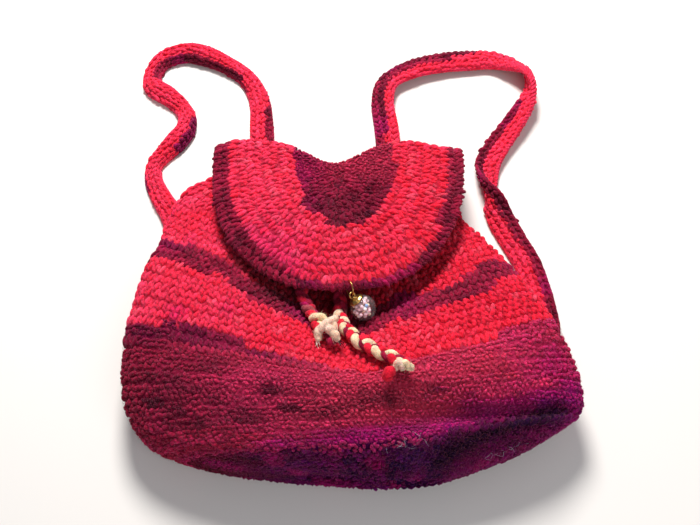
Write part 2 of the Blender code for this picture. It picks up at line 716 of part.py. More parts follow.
def main():
    for ob in list(bpy.data.objects):
        bpy.data.objects.remove(ob)
    red = material("red", 0.9)
    burgundy = material("burgundy", 0.9)
    cream = material("cream", 0.9)
    gold = material("gold", 0.25, 1.0)
    glass = material("glass", 0.03, 0.0, 0.9)
    pearl = material("pearl", 0.2)

    for name, table in (("left", STRAP_LEFT), ("right", STRAP_RIGHT)):
        line, _ = strap_rows(table, 60)
        HIDDEN[name] = [p for p in line[30:] if p[1] < 84]
    make_body(burgundy)
    flap = make_flap(red)
    make_strap("strap_left", STRAP_LEFT, red)
    make_strap("strap_right", STRAP_RIGHT, red)
    make_cord(outer_skin(), cream)
    make_charm(flap, gold, glass, pearl)
    bpy.context.view_layer.update()


main()
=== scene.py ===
"""Crocheted drawstring backpack lying on its back: finish, yarn and lights.

The shapes follow the same rounds, fold and routes as the model's solids.
Every crochet stitch is two or three fat strands of yarn on a core of fabric,
coloured stitch by stitch.  Sizes in the tables are millimetres.
"""
import math

import bmesh
import bpy
import numpy as np
from mathutils import Matrix, Vector
from mathutils.bvhtree import BVHTree


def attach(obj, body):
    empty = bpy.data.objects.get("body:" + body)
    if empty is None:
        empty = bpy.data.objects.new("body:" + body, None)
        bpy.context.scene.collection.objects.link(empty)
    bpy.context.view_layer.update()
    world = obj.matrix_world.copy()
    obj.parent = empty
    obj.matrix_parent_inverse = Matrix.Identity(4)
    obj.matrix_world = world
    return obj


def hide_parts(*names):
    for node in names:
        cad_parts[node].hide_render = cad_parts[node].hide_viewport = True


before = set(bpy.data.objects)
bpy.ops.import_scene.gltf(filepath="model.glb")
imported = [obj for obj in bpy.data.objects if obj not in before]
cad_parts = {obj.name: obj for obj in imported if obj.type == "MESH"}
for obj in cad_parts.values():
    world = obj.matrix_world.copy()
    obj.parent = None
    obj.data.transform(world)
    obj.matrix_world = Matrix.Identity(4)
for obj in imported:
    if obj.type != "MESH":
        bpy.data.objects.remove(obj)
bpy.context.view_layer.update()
MM = 0.001

# ---------------------------------------------------------------- dimensions
WALL = 5.0              # thickness of the crocheted fabric
GAP = 0.3               # clearance between pieces that meet
FLAT = 0.80             # share of the back half that lies dead flat
SEAM_Y = 121.5          # neck edge, where the flap is joined on
NECK_DIP = 24.0         # how far the gathered middle of the neck edge drops
NECK_DIP_X = -13.0
CORNER_RIGHT = 11.0      # sag of the fold at its corners
CORNER_LEFT = 7.0
NECK_DIP_W = 20.5
VALLEY_X = 0.0

FLAP_CX = -9.2          # middle of the flap
FLAP_TOP = 136.0        # centre line of the U-shaped rounds
SEAM_Z = 9.7            # middle of the fabric at the flap's seam
SEAM_SLACK = 1.2
STRAP_T = 5.0
CORD_D = 8.4            # braided drawstring
CORD_CLEAR = 2.0        # how far it lies off the fabric

RING_R = 5.87           # split ring, to the middle of the wire
RING_WIRE = 0.45
LOOP_R = 2.2            # loop on the charm's cap
LOOP_WIRE = 0.6
GLOBE_R = 9.4
GLOBE_WALL = 0.7
CAP_R = 5.6
CHARM_REACH = 12.8      # loop centre to globe centre

# Rounds of the body, from the middle of the base to the mouth (millimetres).
#   yl yr yf yb : y at the left edge, right edge, front middle, back middle
#   xl xr zl zr : x and height of the left and right edges
#   zf zb       : height of the front and of the back
#   val sig     : depth and half width of the hollow down the front middle
#   ex          : how sharply the round dips towards the front middle
#   nd          : share of the gathered neck's dip
#   tuck        : depth of the crease above the base, on the right
BODY_COLUMNS = ("name", "yl", "yr", "yf", "yb", "xl", "xr", "zl", "zr",
                "zf", "zb", "val", "sig", "ex", "nd", "tuck")
BODY_ROUNDS = (
    ("core",      -130, -134, -134, -137,  -30,   62, 20, 26, 34, 14.0,  0, 30, 1.5, 0.0, 0.0),
    ("base",      -127, -116, -125, -133,  -80,  112, 17, 27, 48,  7.0,  0, 30, 1.5, 0.0, 0.0),
    ("rim",       -119,  -97, -117, -126, -114,  147, 16, 28, 57,  2.0,  0, 30, 1.5, 0.0, 0.0),
    ("tuck",      -110,  -90, -105, -118, -136,  155, 22, 30, 59,  0.0,  0, 30, 1.5, 0.0, 9.0),
    ("heel",       -90,  -83,  -93, -106, -151,  158, 28, 32, 63,  0.0,  0, 30, 1.5, 0.0, 3.0),
    ("girth",      -66,  -64,  -82,  -84, -157,  157, 32, 33, 67,  0.0,  1, 30, 1.4, 0.0, 0.0),
    ("loin",       -46,  -44,  -74,  -62, -158,  152, 34, 34, 67,  0.0,  3, 30, 1.3, 0.0, 0.0),
    ("band",       -28,  -24,  -67,  -40, -158,  145, 34, 34, 66,  0.0,  6, 30, 1.3, 0.0, 0.0),
    ("middle",       0,   -6,  -50,  -15, -155,  136, 34, 34, 66,  0.0, 15, 31, 1.3, 0.0, 0.0),
    ("stripe_low",  27,   11,  -34,   10, -150,  125, 33, 33, 63,  0.0, 25, 34, 1.3, 0.0, 0.0),
    ("stripe_top",  41,   26,  -20,   26, -144,  117, 32, 32, 58,  0.0, 29, 46, 1.3, 0.0, 0.0),
    ("shoulder",    66,   45,    6,   48, -141,  105, 30, 30, 47,  0.0, 21, 56, 1.4, 0.0, 0.0),
    ("upper",       92,   64,   38,   66, -133,   91, 28, 28, 40,  1.0, 12, 60, 1.6, 0.0, 0.0),
    ("gather",     112,   88,   66,   82, -110,   75, 24, 25, 33,  6.0,  4, 60, 1.8, 0.3, 0.0),
    ("neck",       112,  108,  101,  103,  -82,   60, 19, 19, 27,  9.6,  0, 60, 2.0, 0.7, 0.0),
    ("mouth",   SEAM_Y, SEAM_Y, SEAM_Y, SEAM_Y, -88, 67, 18, 18, 28, 7.2, 0, 60, 2.0, 1.0, 0.0),
)
BODY = {c: np.array([r[i] for r in BODY_ROUNDS], float) for i, c in enumerate(BODY_COLUMNS) if i}
ROUND = {r[0]: float(i) for i, r in enumerate(BODY_ROUNDS)}

# Height of the flap's fabric along its length (millimetres).
FLAP_COLUMNS = ("y", "z_mid", "z_edge")
FLAP_HEIGHTS = (
    (-20,  48, 48),
    (-7,   50.3, 49),
    (3,    52.5, 50),
    (15,   55, 51),
    (32,   55.5, 50),
    (60,   51.5, 48),
    (85,   46.5, 46),
    (105,  42.5, 44.5),
    (124,  40.5, 43.5),
    (150,  38, 42),
)

# Rounds of the flap: half width, length below FLAP_TOP, squareness.
FLAP_SHAPE = (("spine", 0.0, 52.0, 1.8), ("centre", 44.0, 93.0, 1.8), ("edge", 100.2, 142.8, 2.55))

# Shoulder straps: x, y and roll of the strip (degrees), from the back of the
# neck, round the loop that lies on the floor, to the bottom corner.
STRAP_COLUMNS = ("x", "y", "roll", "crown", "width")
STRAP_LEFT = (
    (-74, 121,   0, 0.0, 21.5),
    (-74, 136,   0, 0.5, 21.5),
    (-76, 152,   0, 2.5, 21.5),
    (-78, 180,   4, 3.5, 21.0),
    (-82, 213,   2, 3.8, 19.0),
    (-94.5, 237, -14, 4.2, 17.0),
    (-115, 253, -26, 4.2, 17.0),
    (-137, 264, -30, 3.8, 20.0),
    (-156, 268.5, -26, 3.5, 19.5),
    (-175.5, 261, -14, 3.8, 18.5),
    (-183.5, 244,   4, 3.8, 17.5),
    (-180, 227,  18, 3.5, 19.0),
    (-167, 217,  20, 3.8, 18.0),
    (-154, 207,   4, 4.2, 16.5),
    (-145, 194, -14, 4.2, 16.0),
    (-144, 178, -20, 4.0, 17.5),
    (-151, 163, -22, 3.8, 19.0),
    (-161.5, 151, -10, 4.0, 16.5),
    (-168.5, 138,   0, 4.2, 14.5),
    (-166.5, 123,   0, 4.2, 15.0),
    (-158.5, 107,   0, 3.4, 17.0),
    (-148, 90,   0, 1.5, 18.5),
    (-140.5, 72,   0, 0.0, 20.0),
    (-137,  48,   0, 0.0, 21.5),
    (-134,  10,   0, 0.0, 21.5),
    (-132, -35,   0, 0.0, 21.5),
    (-126, -78,   0, 0.0, 21.5),
)
STRAP_RIGHT = (
    (35, 121,   0, 0.0, 22.0),
    (35, 136,   0, 0.5, 22.0),
    (34, 152,  -4, 2.5, 22.0),
    (31.5, 180, -14, 3.5, 21.5),
    (28.5, 209, -20, 3.5, 21.0),
    (34, 233.5, -18, 3.5, 22.5),
    (56, 250, -14, 3.5, 26.0),
    (84, 259, -10, 3.5, 27.0),
    (112, 262.5,  -8, 3.5, 26.5),
    (131.5, 263, -10, 3.5, 25.0),
    (148.5, 255.5, -26, 3.5, 23.5),
    (161.5, 241.5, -56, 3.0, 23.0),
    (164, 224, -96, 2.5, 22.0),
    (157, 203, -140, 2.5, 22.0),
    (143, 180, -160, 2.5, 22.0),
    (128, 158, -172, 2.5, 22.0),
    (117, 137, -190, 2.5, 22.0),
    (114, 112, -244, 2.5, 22.0),
    (119.5,  88, -318, 2.5, 22.0),
    (130.5,  64, -344, 2.5, 21.5),
    (140.5,  42, -352, 1.5, 21.5),
    (145.5,  20, -360, 0.0, 22.0),
    (147.5,   2, -360, 0.0, 22.0),
    (148, -16, -360, 0.0, 22.0),
    (142, -38, -360, 0.0, 22.0),
    (133, -58, -360, 0.0, 22.0),
    (122, -80, -360, 0.0, 22.0),
)

# Drawstring: left tail from its end to the neck, round the neck, right tail.
#   rise : height of the cord's middle over the fabric below it
CORD_COLUMNS = ("x", "y", "rise")
CORD_LEFT_TAIL = (
    (-2.5, -61.5, 4.6),
    (-8.0, -54.5, 4.6),
    (-14.0, -46.5, 4.8),
    (-19.5, -38.0, 5.2),
    (-25.0, -29.0, 5.6),
    (-30.5, -19.5, 6.0),
    (-34.5, -8.0, 6.0),
    (-36.0, 8.0, 5.6),
    (-35.0, 35.0, 5.0),
    (-31.0, 60.0, 4.8),
    (-25.0, 78.0, 4.8),
    (-26.0, 93.0, 4.8),
    (-38.0, 100.0, 4.8),
)
CORD_RIGHT_TAIL = (
    (14.0, 101.0, 4.8),
    (4.0, 93.0, 4.8),
    (2.0, 78.0, 4.8),
    (-1.0, 60.0, 4.8),
    (-5.0, 35.0, 5.0),
    (-7.0, 8.0, 5.6),
    (-7.5, -9.0, 5.8),
    (-7.0, -21.0, 5.6),
    (-5.0, -31.5, 5.2),
    (-0.8, -41.5, 4.8),
    (6.2, -51.0, 4.6),
    (14.5, -58.0, 4.6),
    (23.5, -64.0, 4.6),
    (32.0, -69.5, 4.6),
    (40.0, -74.5, 4.6),
)

# Charm: where the loop hangs on the ring, and the way the globe points.
LINK = np.array((1.94, -11.14, 52.01))
LOOP_SHIFT = np.array((-0.35, -0.40, -0.10))
CHARM_WAY = np.array((0.6008, -0.4113, -0.6855))
LOOP_LEAN = np.array((0.0, 0.0, 1.0))
RING_LEAN = np.array((0.176, 0.213, 0.961))
RING_BACK = np.array((-0.362, 0.922, -0.138))

# ------------------------------------------------------------------- helpers
def catmull(values, t):
    """Smooth curve through a column of values, read at t (0 .. n-1)."""
    v = np.asarray(values, float)
    t = np.clip(np.asarray(t, float), 0.0, len(v) - 1.0)
    i = np.minimum(t.astype(int), len(v) - 2)
    f = t - i
    p0, p1 = v[np.maximum(i - 1, 0)], v[i]
    p2, p3 = v[i + 1], v[np.minimum(i + 2, len(v) - 1)]
    return p1 + 0.5 * f * (p2 - p0 + f * (2 * p0 - 5 * p1 + 4 * p2 - p3
                                          + f * (3 * (p1 - p2) + p3 - p0)))


def smooth(edge0, edge1, x):
    t = np.clip((np.asarray(x, float) - edge0) / (edge1 - edge0), 0.0, 1.0)
    return t * t * (3 - 2 * t)


def unit(v):
    v = np.asarray(v, float)
    return v / np.linalg.norm(v)


def neck_dip(x):
    """How far the neck edge and the fold over it drop: the gathered middle,
    and the corners, which sag."""
    middle = NECK_DIP * np.exp(-((x - NECK_DIP_X) / NECK_DIP_W) ** 2 / 2)
    return middle + CORNER_RIGHT * smooth(42, 92, x) + CORNER_LEFT * smooth(88, 110, -x)


def strap_ring(roll, crown, width):
    """Cross-section of a strap: (across, up) before and after its roll."""
    w, t = width / 2, STRAP_T / 2
    top = ((w, 0.35 * t), (w - 2.0, t), (0, t), (-w + 2.0, t), (-w, 0.35 * t))
    low = ((-w, -0.35 * t), (-w + 2.0, -t), (0, -t), (w - 2.0, -t), (w, -0.35 * t))
    ring = np.array(top + low)
    ring[:, 1] -= crown * (ring[:, 0] / w) ** 2
    c, s = math.cos(roll), math.sin(roll)
    turned = np.stack([ring[:, 0] * c + ring[:, 1] * s, ring[:, 1] * c - ring[:, 0] * s], 1)
    return turned


def strap_rows(table, count):
    """Centre line and turned cross-sections of a strap, evenly spaced."""
    rows = np.array(table, float)
    t = np.linspace(0, len(rows) - 1, 1201)
    cols = [catmull(rows[:, i], t) for i in range(5)]
    xy = np.stack(cols[:2], 1)
    run = np.concatenate([[0], np.cumsum(np.linalg.norm(np.diff(xy, axis=0), axis=1))])
    even = np.linspace(0, run[-1], count)
    x, y, roll, crown, width = [np.interp(even, run, c) for c in cols]
    rings = [strap_ring(math.radians(a), max(c, 0.0), w) for a, c, w in zip(roll, crown, width)]
    z = np.array([GAP + 0.1 - r[:, 1].min() for r in rings])
    return np.stack([x, y, z], 1), rings


HIDDEN = {}


def strap_lift(x, y):
    """The back of the bag rides up over the straps that run under it."""
    low = np.full(np.shape(x), 1e9)
    for line in HIDDEN.values():
        for p in line:
            low = np.minimum(low, np.hypot(x - p[0], y - p[1]))
    return (STRAP_T + 2 * GAP + 0.6) * (1 - smooth(17, 34, low))


def body_point(s, a):
    """Outer surface of the body: s is the round, a the angle round the bag."""
    s, a = np.broadcast_arrays(np.asarray(s, float), np.asarray(a, float))
    g = {c: catmull(BODY[c], s) for c in BODY}
    c, sn = np.cos(a), np.sin(a)
    xn = np.sign(c) * np.abs(c) ** 0.85
    x = (g["xl"] + g["xr"]) / 2 + (g["xr"] - g["xl"]) / 2 * xn
    t = (xn + 1) / 2
    ys = g["yl"] + (g["yr"] - g["yl"]) * t
    zs = g["zl"] + (g["zr"] - g["zl"]) * t
    ym = (g["yl"] + g["yr"]) / 2
    dip = 1 - np.abs(xn) ** g["ex"]
    up = np.clip(sn, 0, 1)
    dn = np.clip(-sn, 0, 1)
    front = sn >= 0
    zf = zs + (g["zf"] - zs) * up ** 0.85
    zf = zf - g["val"] * np.exp(-((x - VALLEY_X) / g["sig"]) ** 2 / 2) * up ** 0.5
    zf = zf - g["tuck"] * smooth(-0.1, 0.5, xn) * up
    zb = zs + (g["zb"] - zs) * np.sin(math.pi / 2 * np.clip(dn / FLAT, 0, 1))
    y = ys + np.where(front, g["yf"] - ym, g["yb"] - ym) * dip
    y = y - g["nd"] * neck_dip(x)
    z = np.where(front, zf, zb)
    z = np.where(front, z, np.maximum(z, strap_lift(x, y)))
    return np.stack([x, y, z], -1)


def body_normal(s, a):
    e = 1e-3
    last = len(BODY_ROUNDS) - 1
    ds = body_point(np.minimum(s + e, last), a) - body_point(np.maximum(s - e, 0), a)
    da = body_point(s, a + e) - body_point(s, a - e)
    n = np.cross(ds, da)
    n /= np.maximum(np.linalg.norm(n, axis=-1, keepdims=True), 1e-12)
    return n


def flap_round(k, u):
    """Flat pattern of the flap: k runs from its middle line to its edge, u
    from the left end of a round, down, across the tip and up to the right."""
    k, u = np.broadcast_arrays(np.asarray(k, float), np.asarray(u, float))
    shape = np.array([r[1:] for r in FLAP_SHAPE])
    stops = np.array([0.0, shape[1, 0] / shape[2, 0], 1.0])
    half = np.interp(k, stops, shape[:, 0])
    deep = np.interp(k, stops, shape[:, 1])
    square = np.interp(k, stops, shape[:, 2])
    side = 0.27                             # share of u in each straight side
    w = np.clip((u - side) / (1 - 2 * side), 0, 1)
    phi = math.pi * (1 - w)
    c, s = np.cos(phi), np.abs(np.sin(phi))
    x = FLAP_CX + half * np.sign(c) * np.abs(c) ** (2 / square)
    y = FLAP_TOP - deep * s ** (2 / square)
    over = np.maximum(side - u, u - (1 - side)) / side
    # the straight sides run on, up and round the fold, to the seam
    last = fold_start(x) + math.pi * fold_radius(x) + 3.0 - SEAM_SLACK
    y = np.where(over > 0, FLAP_TOP + (last - FLAP_TOP) * np.clip(over, 0, 1), y)
    return x, y


def flap_height(x, y):
    rows = np.array(FLAP_HEIGHTS, float)
    t = np.interp(y, rows[:, 0], np.arange(len(rows)))
    mid, edge = catmull(rows[:, 1], t), catmull(rows[:, 2], t)
    r = np.clip(np.abs(x - FLAP_CX) / FLAP_SHAPE[-1][1], 0, 1.1)
    return mid + (edge - mid) * r ** 2


def fold_start(x):
    return SEAM_Y + GAP + 3.0 - neck_dip(x)


def fold_radius(x):
    return (flap_height(x, fold_start(x)) - SEAM_Z) / 2


def flap_point(x, y):
    """Middle of the flap's fabric, from its flat pattern: over the front as
    it lies, then round the fold and under to the seam."""
    f, r = fold_start(x), fold_radius(x)
    top = flap_height(x, f)
    q = np.maximum(y - f, 0)
    th = np.clip(q / r, 0, math.pi)
    rest = np.maximum(q - math.pi * r, 0)
    yy = np.where(q > 0, f + r * np.sin(th) - rest, y)
    zz = np.where(q > 0, top - r * (1 - np.cos(th)), flap_height(x, y))
    return np.stack([x + 0 * yy, yy, zz], -1)


def flap_normal(x, y):
    e = 0.05
    dx = flap_point(x + e, y) - flap_point(x - e, y)
    dy = flap_point(x, y + e) - flap_point(x, y - e)
    n = np.cross(dx, dy)
    return n / np.maximum(np.linalg.norm(n, axis=-1, keepdims=True), 1e-12)


def grid_faces(rows, cols, start=0, closed=True, flip=False):
    out = []
    for i in range(rows - 1):
        for j in range(cols if closed else cols - 1):
            a = start + i * cols + j
            b = start + i * cols + (j + 1) % cols
            q = (a, b, b + cols, a + cols)
            out.append(q[::-1] if flip else q)
    return out


def outer_skin():
    """The outside of the body alone, to lay the drawstring on."""
    rows = np.linspace(0, len(BODY_ROUNDS) - 1, 90)
    ang = np.arange(80) / 80 * 2 * math.pi
    verts = [tuple(v * MM) for s in rows for v in body_point(s, ang)]
    return BVHTree.FromPolygons(verts, grid_faces(len(rows), 80, flip=True))


def height_below(tree, x, y):
    hit = tree.ray_cast(Vector((x * MM, y * MM, 0.2)), Vector((0, 0, -1)))
    return hit[0].z / MM


def cord_route(tree):
    """Middle line of the drawstring, end to end, lying on the fabric."""
    left = [(x, y, height_below(tree, x, y) + r) for x, y, r in CORD_LEFT_TAIL]
    right = [(x, y, height_below(tree, x, y) + r) for x, y, r in CORD_RIGHT_TAIL]
    turns = np.radians(np.linspace(116, 424, 15))
    s = np.full(len(turns), ROUND["neck"])
    p, n = body_point(s, turns), body_normal(s, turns)
    n[:, 1] = 0
    n /= np.linalg.norm(n, axis=1, keepdims=True)
    loop = p + n * (CORD_D / 2 + 0.6)
    pts = np.array(left + [tuple(v) for v in loop] + right)
    t = np.linspace(0, len(pts) - 1, 400)
    line = np.stack([catmull(pts[:, i], t) for i in range(3)], 1)
    for turn in range(30):
        line[1:-1] = 0.5 * line[1:-1] + 0.25 * (line[:-2] + line[2:])
        for i, q in enumerate(line):
            near, way, _, dist = tree.find_nearest(Vector(q) * MM)
            out = np.array(Vector(q) * MM - near)
            if out.dot(np.array(way)) < 0:
                out, dist = np.array(way), -dist
            if dist / MM < CORD_D / 2 + CORD_CLEAR:
                line[i] = np.array(near) / MM + unit(out) * (CORD_D / 2 + CORD_CLEAR)
        line[:, 2] = np.maximum(line[:, 2], CORD_D / 2 + 0.3)
    return line


def basis(z_way, x_way):
    z = unit(z_way)
    x = unit(np.asarray(x_way, float) - z * np.dot(x_way, z))
    return x, np.cross(z, x), z


def charm_frame():
    d = unit(CHARM_WAY)
    t = unit(LOOP_LEAN - d * np.dot(LOOP_LEAN, d))
    return d, t


def ring_frame():
    w = unit(RING_BACK)
    t = unit(RING_LEAN - w * np.dot(RING_LEAN, w))
    return t, w



# ------------------------------------------------------------------ the frame
for _name, _table in (("left", STRAP_LEFT), ("right", STRAP_RIGHT)):
    _line, _ = strap_rows(_table, 60)
    HIDDEN[_name] = [p for p in _line[30:] if p[1] < 84]

CAMERA_AT = (0.0, -0.255, 0.520)
CAMERA_TILT = 30.0                      # degrees from straight down
camera_data = bpy.data.cameras.new("camera")
camera_data.sensor_width = 36.0
camera_data.lens = 36.0 * 750.0 / 700.0
camera_data.clip_start = 0.01
camera = bpy.data.objects.new("camera", camera_data)
camera.location = CAMERA_AT
camera.rotation_euler = (math.radians(CAMERA_TILT), 0, 0)
bpy.context.scene.collection.objects.link(camera)
bpy.context.scene.camera = camera


# ------------------------------------------------------------------- colours
def srgb(code):
    """Linear colour of a #rrggbb code."""
    v = np.array([int(code[i:i + 2], 16) for i in (1, 3, 5)]) / 255.0
    return np.where(v <= 0.04045, v / 12.92, ((v + 0.055) / 1.055) ** 2.4)


YARN = {
    "coral":     srgb("#F52A45"),
    "red":       srgb("#E41A36"),
    "rose":      srgb("#FB3F68"),
    "pink":      srgb("#FF7C98"),
    "magenta":   srgb("#B4106A"),
    "burgundy":  srgb("#6C0A26"),
    "wine":      srgb("#9A1A3C"),
    "raspberry": srgb("#CC2C62"),
    "ink":       srgb("#300A1C"),
    "plum":      srgb("#640850"),
    "violet":    srgb("#7C0C74"),
    "indigo":    srgb("#260C42"),
    "rosewood":  srgb("#D03456"),
    "dusk":      srgb("#3C1C66"),
    "cream":     srgb("#F0D8AC"),
    "blush":     srgb("#E8BCB2"),
    "scarlet":   srgb("#CC1A32"),
}


def mix(a, b, t):
    t = np.clip(np.asarray(t, float), 0, 1)[..., None]
    return np.asarray(a) * (1 - t) + np.asarray(b) * t


def hash01(n, seed=0):
    """A number from 0 to 1 for each whole number, always the same."""
    v = np.sin(np.asarray(n, float) * 12.9898 + seed * 78.233) * 43758.5453
    return v - np.floor(v)


def wander(t, seed=0):
    """Smooth random curve of t, from 0 to 1, one turn a unit."""
    t = np.asarray(t, float)
    i = np.floor(t)
    f = t - i
    f = f * f * (3 - 2 * f)
    return hash01(i, seed) * (1 - f) + hash01(i + 1, seed) * f


def wander3(p, size, seed=0):
    """Smooth random field over space, from 0 to 1."""
    q = np.asarray(p, float) / size + seed * 17.13
    i = np.floor(q)
    f = q - i
    f = f * f * (3 - 2 * f)
    out = 0.0
    for dx in (0, 1):
        for dy in (0, 1):
            for dz in (0, 1):
                n = (i[..., 0] + dx) * 15.731 + (i[..., 1] + dy) * 789.221 + (i[..., 2] + dz) * 1376.31
                w = (np.where(dx, f[..., 0], 1 - f[..., 0]) * np.where(dy, f[..., 1], 1 - f[..., 1])
                     * np.where(dz, f[..., 2], 1 - f[..., 2]))
                out = out + hash01(np.mod(n, 9973.0), seed) * w
    return out


# ---------------------------------------------------------- meshes from arrays
def add_mesh(name, verts, faces, mat, tint=None, uv=None, smooth_it=True):
    """Mesh object from arrays: verts in millimetres, faces as rows of 3 or 4."""
    verts = np.asarray(verts, float) * MM
    loops = np.concatenate([np.asarray(f).ravel() for f in faces])
    counts = np.concatenate([np.full(len(f), np.asarray(f).shape[1]) for f in faces])
    mesh = bpy.data.meshes.new(name)
    mesh.vertices.add(len(verts))
    mesh.vertices.foreach_set("co", verts.ravel())
    mesh.loops.add(len(loops))
    mesh.loops.foreach_set("vertex_index", loops.astype(np.int32))
    mesh.polygons.add(len(counts))
    start = np.concatenate([[0], np.cumsum(counts)[:-1]])
    mesh.polygons.foreach_set("loop_start", start.astype(np.int32))
    mesh.polygons.foreach_set("loop_total", counts.astype(np.int32))
    mesh.update(calc_edges=True)
    if tint is not None:
        layer = mesh.attributes.new("tint", "FLOAT_COLOR", "POINT")
        rgba = np.ones((len(verts), 4))
        rgba[:, :3] = np.clip(tint, 0, 1)
        layer.data.foreach_set("color", rgba.ravel())
    if uv is not None:
        layer = mesh.uv_layers.new(name="UVMap")
        layer.data.foreach_set("uv", np.asarray(uv, float)[loops].ravel())
    mesh.materials.append(mat)
    if smooth_it:
        mesh.shade_smooth()
    mesh.validate()
    ob = bpy.data.objects.new(name, mesh)
    bpy.context.scene.collection.objects.link(ob)
    return ob


class Yarn:
    """Collects short fat strands of yarn and makes one mesh of them."""

    def __init__(self):
        self.verts, self.tris, self.quads, self.tint, self.uv, self.n = [], [], [], [], [], 0

    def add(self, spine, normal, radius, tint, sides=6, flat=0.9, lift=None):
        """spine (m, k, 3); normal (m, 3); radius (m, k); tint (m, 3).
        flat is the height of the strand over its width."""
        m, k, _ = spine.shape
        if m == 0:
            return
        way = np.gradient(spine, axis=1)
        way /= np.maximum(np.linalg.norm(way, axis=2, keepdims=True), 1e-9)
        nn = np.broadcast_to(normal[:, None, :], spine.shape)
        across = np.cross(way, nn)
        across /= np.maximum(np.linalg.norm(across, axis=2, keepdims=True), 1e-9)
        up = np.cross(across, way)
        f = np.arange(sides) / sides * 2 * math.pi
        ring = (spine[:, :, None, :]
                + across[:, :, None, :] * (np.cos(f)[None, None, :, None] * radius[:, :, None, None])
                + up[:, :, None, :] * (np.sin(f)[None, None, :, None] * radius[:, :, None, None] * flat))
        tip0 = spine[:, 0] - way[:, 0] * radius[:, :1] * 0.55
        tip1 = spine[:, -1] + way[:, -1] * radius[:, -1:] * 0.55
        each = k * sides + 2
        verts = np.concatenate([ring.reshape(m, k * sides, 3), tip0[:, None], tip1[:, None]], 1)
        if lift is not None:
            verts[..., 2] = np.maximum(verts[..., 2], lift)
        base = self.n + np.arange(m)[:, None] * each
        i, j = np.meshgrid(np.arange(k - 1), np.arange(sides), indexing="ij")
        a = (i * sides + j).ravel()
        b = (i * sides + (j + 1) % sides).ravel()
        quad = np.stack([a, b, b + sides, a + sides], 1)
        self.quads.append((base[:, :, None] + quad[None]).reshape(-1, 4))
        j = np.arange(sides)
        j1 = (j + 1) % sides
        cap0 = np.stack([j1, j, np.full(sides, k * sides)], 1)
        last = (k - 1) * sides
        cap1 = np.stack([last + j, last + j1, np.full(sides, k * sides + 1)], 1)
        cap = np.concatenate([cap0, cap1])
        self.tris.append((base[:, :, None] + cap[None]).reshape(-1, 3))
        t = np.linspace(0, 1, k)
        uv = np.stack(np.broadcast_arrays(t[:, None] * 1.0, np.abs(2 * f[None] / (2 * math.pi) - 1)), 2).reshape(-1, 2)
        uv = np.concatenate([uv, [[0, 0.5], [1, 0.5]]])
        shift = hash01(np.arange(m) + self.n, 3)[:, None, None] * np.array([1.0, 0.0])
        self.uv.append((uv[None] + shift).reshape(-1, 2))
        # painted shade: a strand is darker where it dives into the fabric
        dark = np.concatenate([np.repeat(0.80 + 0.20 * np.sin(math.pi * np.clip(t * 0.86 + 0.07, 0, 1)) ** 0.7, sides), [0.76, 0.76]])
        self.tint.append((np.asarray(tint)[:, None, :] * dark[None, :, None]).reshape(-1, 3))
        self.verts.append(verts.reshape(-1, 3))
        self.n += m * each

    def make(self, name, mat):
        faces = [np.concatenate(self.quads), np.concatenate(self.tris)]
        return add_mesh(name, np.concatenate(self.verts), faces, mat,
                        np.concatenate(self.tint), np.concatenate(self.uv))


def spine_of(p, ax, ay, az, path):
    """Spine points from a stitch's place and axes (m, 3) and path (k, m, 3)
    of its own coordinates."""
    return (p[:, None, :] + ax[:, None, :] * path[..., 0:1] + ay[:, None, :] * path[..., 1:2]
            + az[:, None, :] * path[..., 2:3])


def vee(yarn, p, t, u, n, w, h, tint, skew=0.08, r0=1.5, depth=-2.15, rings=5, sides=6,
        seed=0, flat=0.92, lift=None, tall=1.0, lean=1.0, loose=1.0):
    """A crochet stitch seen from the front: two slanted strands, a V.
    p places; t, u, n unit vectors along the row, up the rows and outwards;
    w, h the stitch's width and height; tall stretches it into the next row;
    lean is 1 or -1, the leg that stands proud; loose is how unevenly the
    stitches are worked."""
    m = len(p)
    if m == 0:
        return
    tt = np.linspace(0, 1, rings)
    idx = np.arange(m) + seed * 1009
    turn = (hash01(idx, 3) - 0.5) * 0.42 * loose
    jog = (hash01(idx, 61) - 0.5) * 0.24 * loose
    rise = (hash01(idx, 67) - 0.5) * 0.24 * loose
    lift_all = (hash01(idx, 9) - 0.5) * 0.5
    tall = np.broadcast_to(np.asarray(tall, float), (m,))
    for leg, sign in enumerate((-1.0, 1.0)):
        j1, j2, j3, j4 = (hash01(idx, 11 + leg), hash01(idx, 23 + leg), hash01(idx, 37 + leg), hash01(idx, 41 + leg))
        proud = 0.5 + 0.5 * sign * lean
        x0 = sign * 0.06 + (j1 - 0.5) * 0.12 - turn * 0.5 + jog
        x1 = sign * 0.40 + skew + (j2 - 0.5) * 0.18 + turn + jog
        y0 = -0.60 + (j3 - 0.5) * 0.14 - 0.05 * proud + rise
        y1 = 0.44 + (j4 - 0.5) * 0.18 + 0.08 * proud + 0.34 * (tall - 1) + rise
        bow = sign * 0.06
        x = (x0[:, None] + (x1 - x0)[:, None] * tt + bow * np.sin(math.pi * tt)) * w[:, None]
        y = (y0[:, None] + (y1 - y0)[:, None] * tt) * h[:, None]
        high = (1.15 + 0.35 * proud + 0.45 * (j2 - 0.5) + lift_all)[:, None]
        z = depth + high * np.sin(math.pi * np.clip(0.10 + 0.80 * tt, 0, 1)) ** 0.8
        path = np.stack([x, y, z], 2)
        r = ((r0 * (0.92 + 0.16 * proud) * (1 + (j1 - 0.5) * 0.24))[:, None]
             * np.interp(tt, [0, .22, .55, .8, 1], [.60, .95, 1.05, .92, .58])[None])
        r = r * np.clip(w / 6.6, 0.72, 1.2)[:, None]
        shade = (0.80 + 0.34 * j3) * (0.92 + 0.14 * proud)
        yarn.add(spine_of(p, t, u, n, path), n, r, tint * shade[:, None], sides, flat, lift)


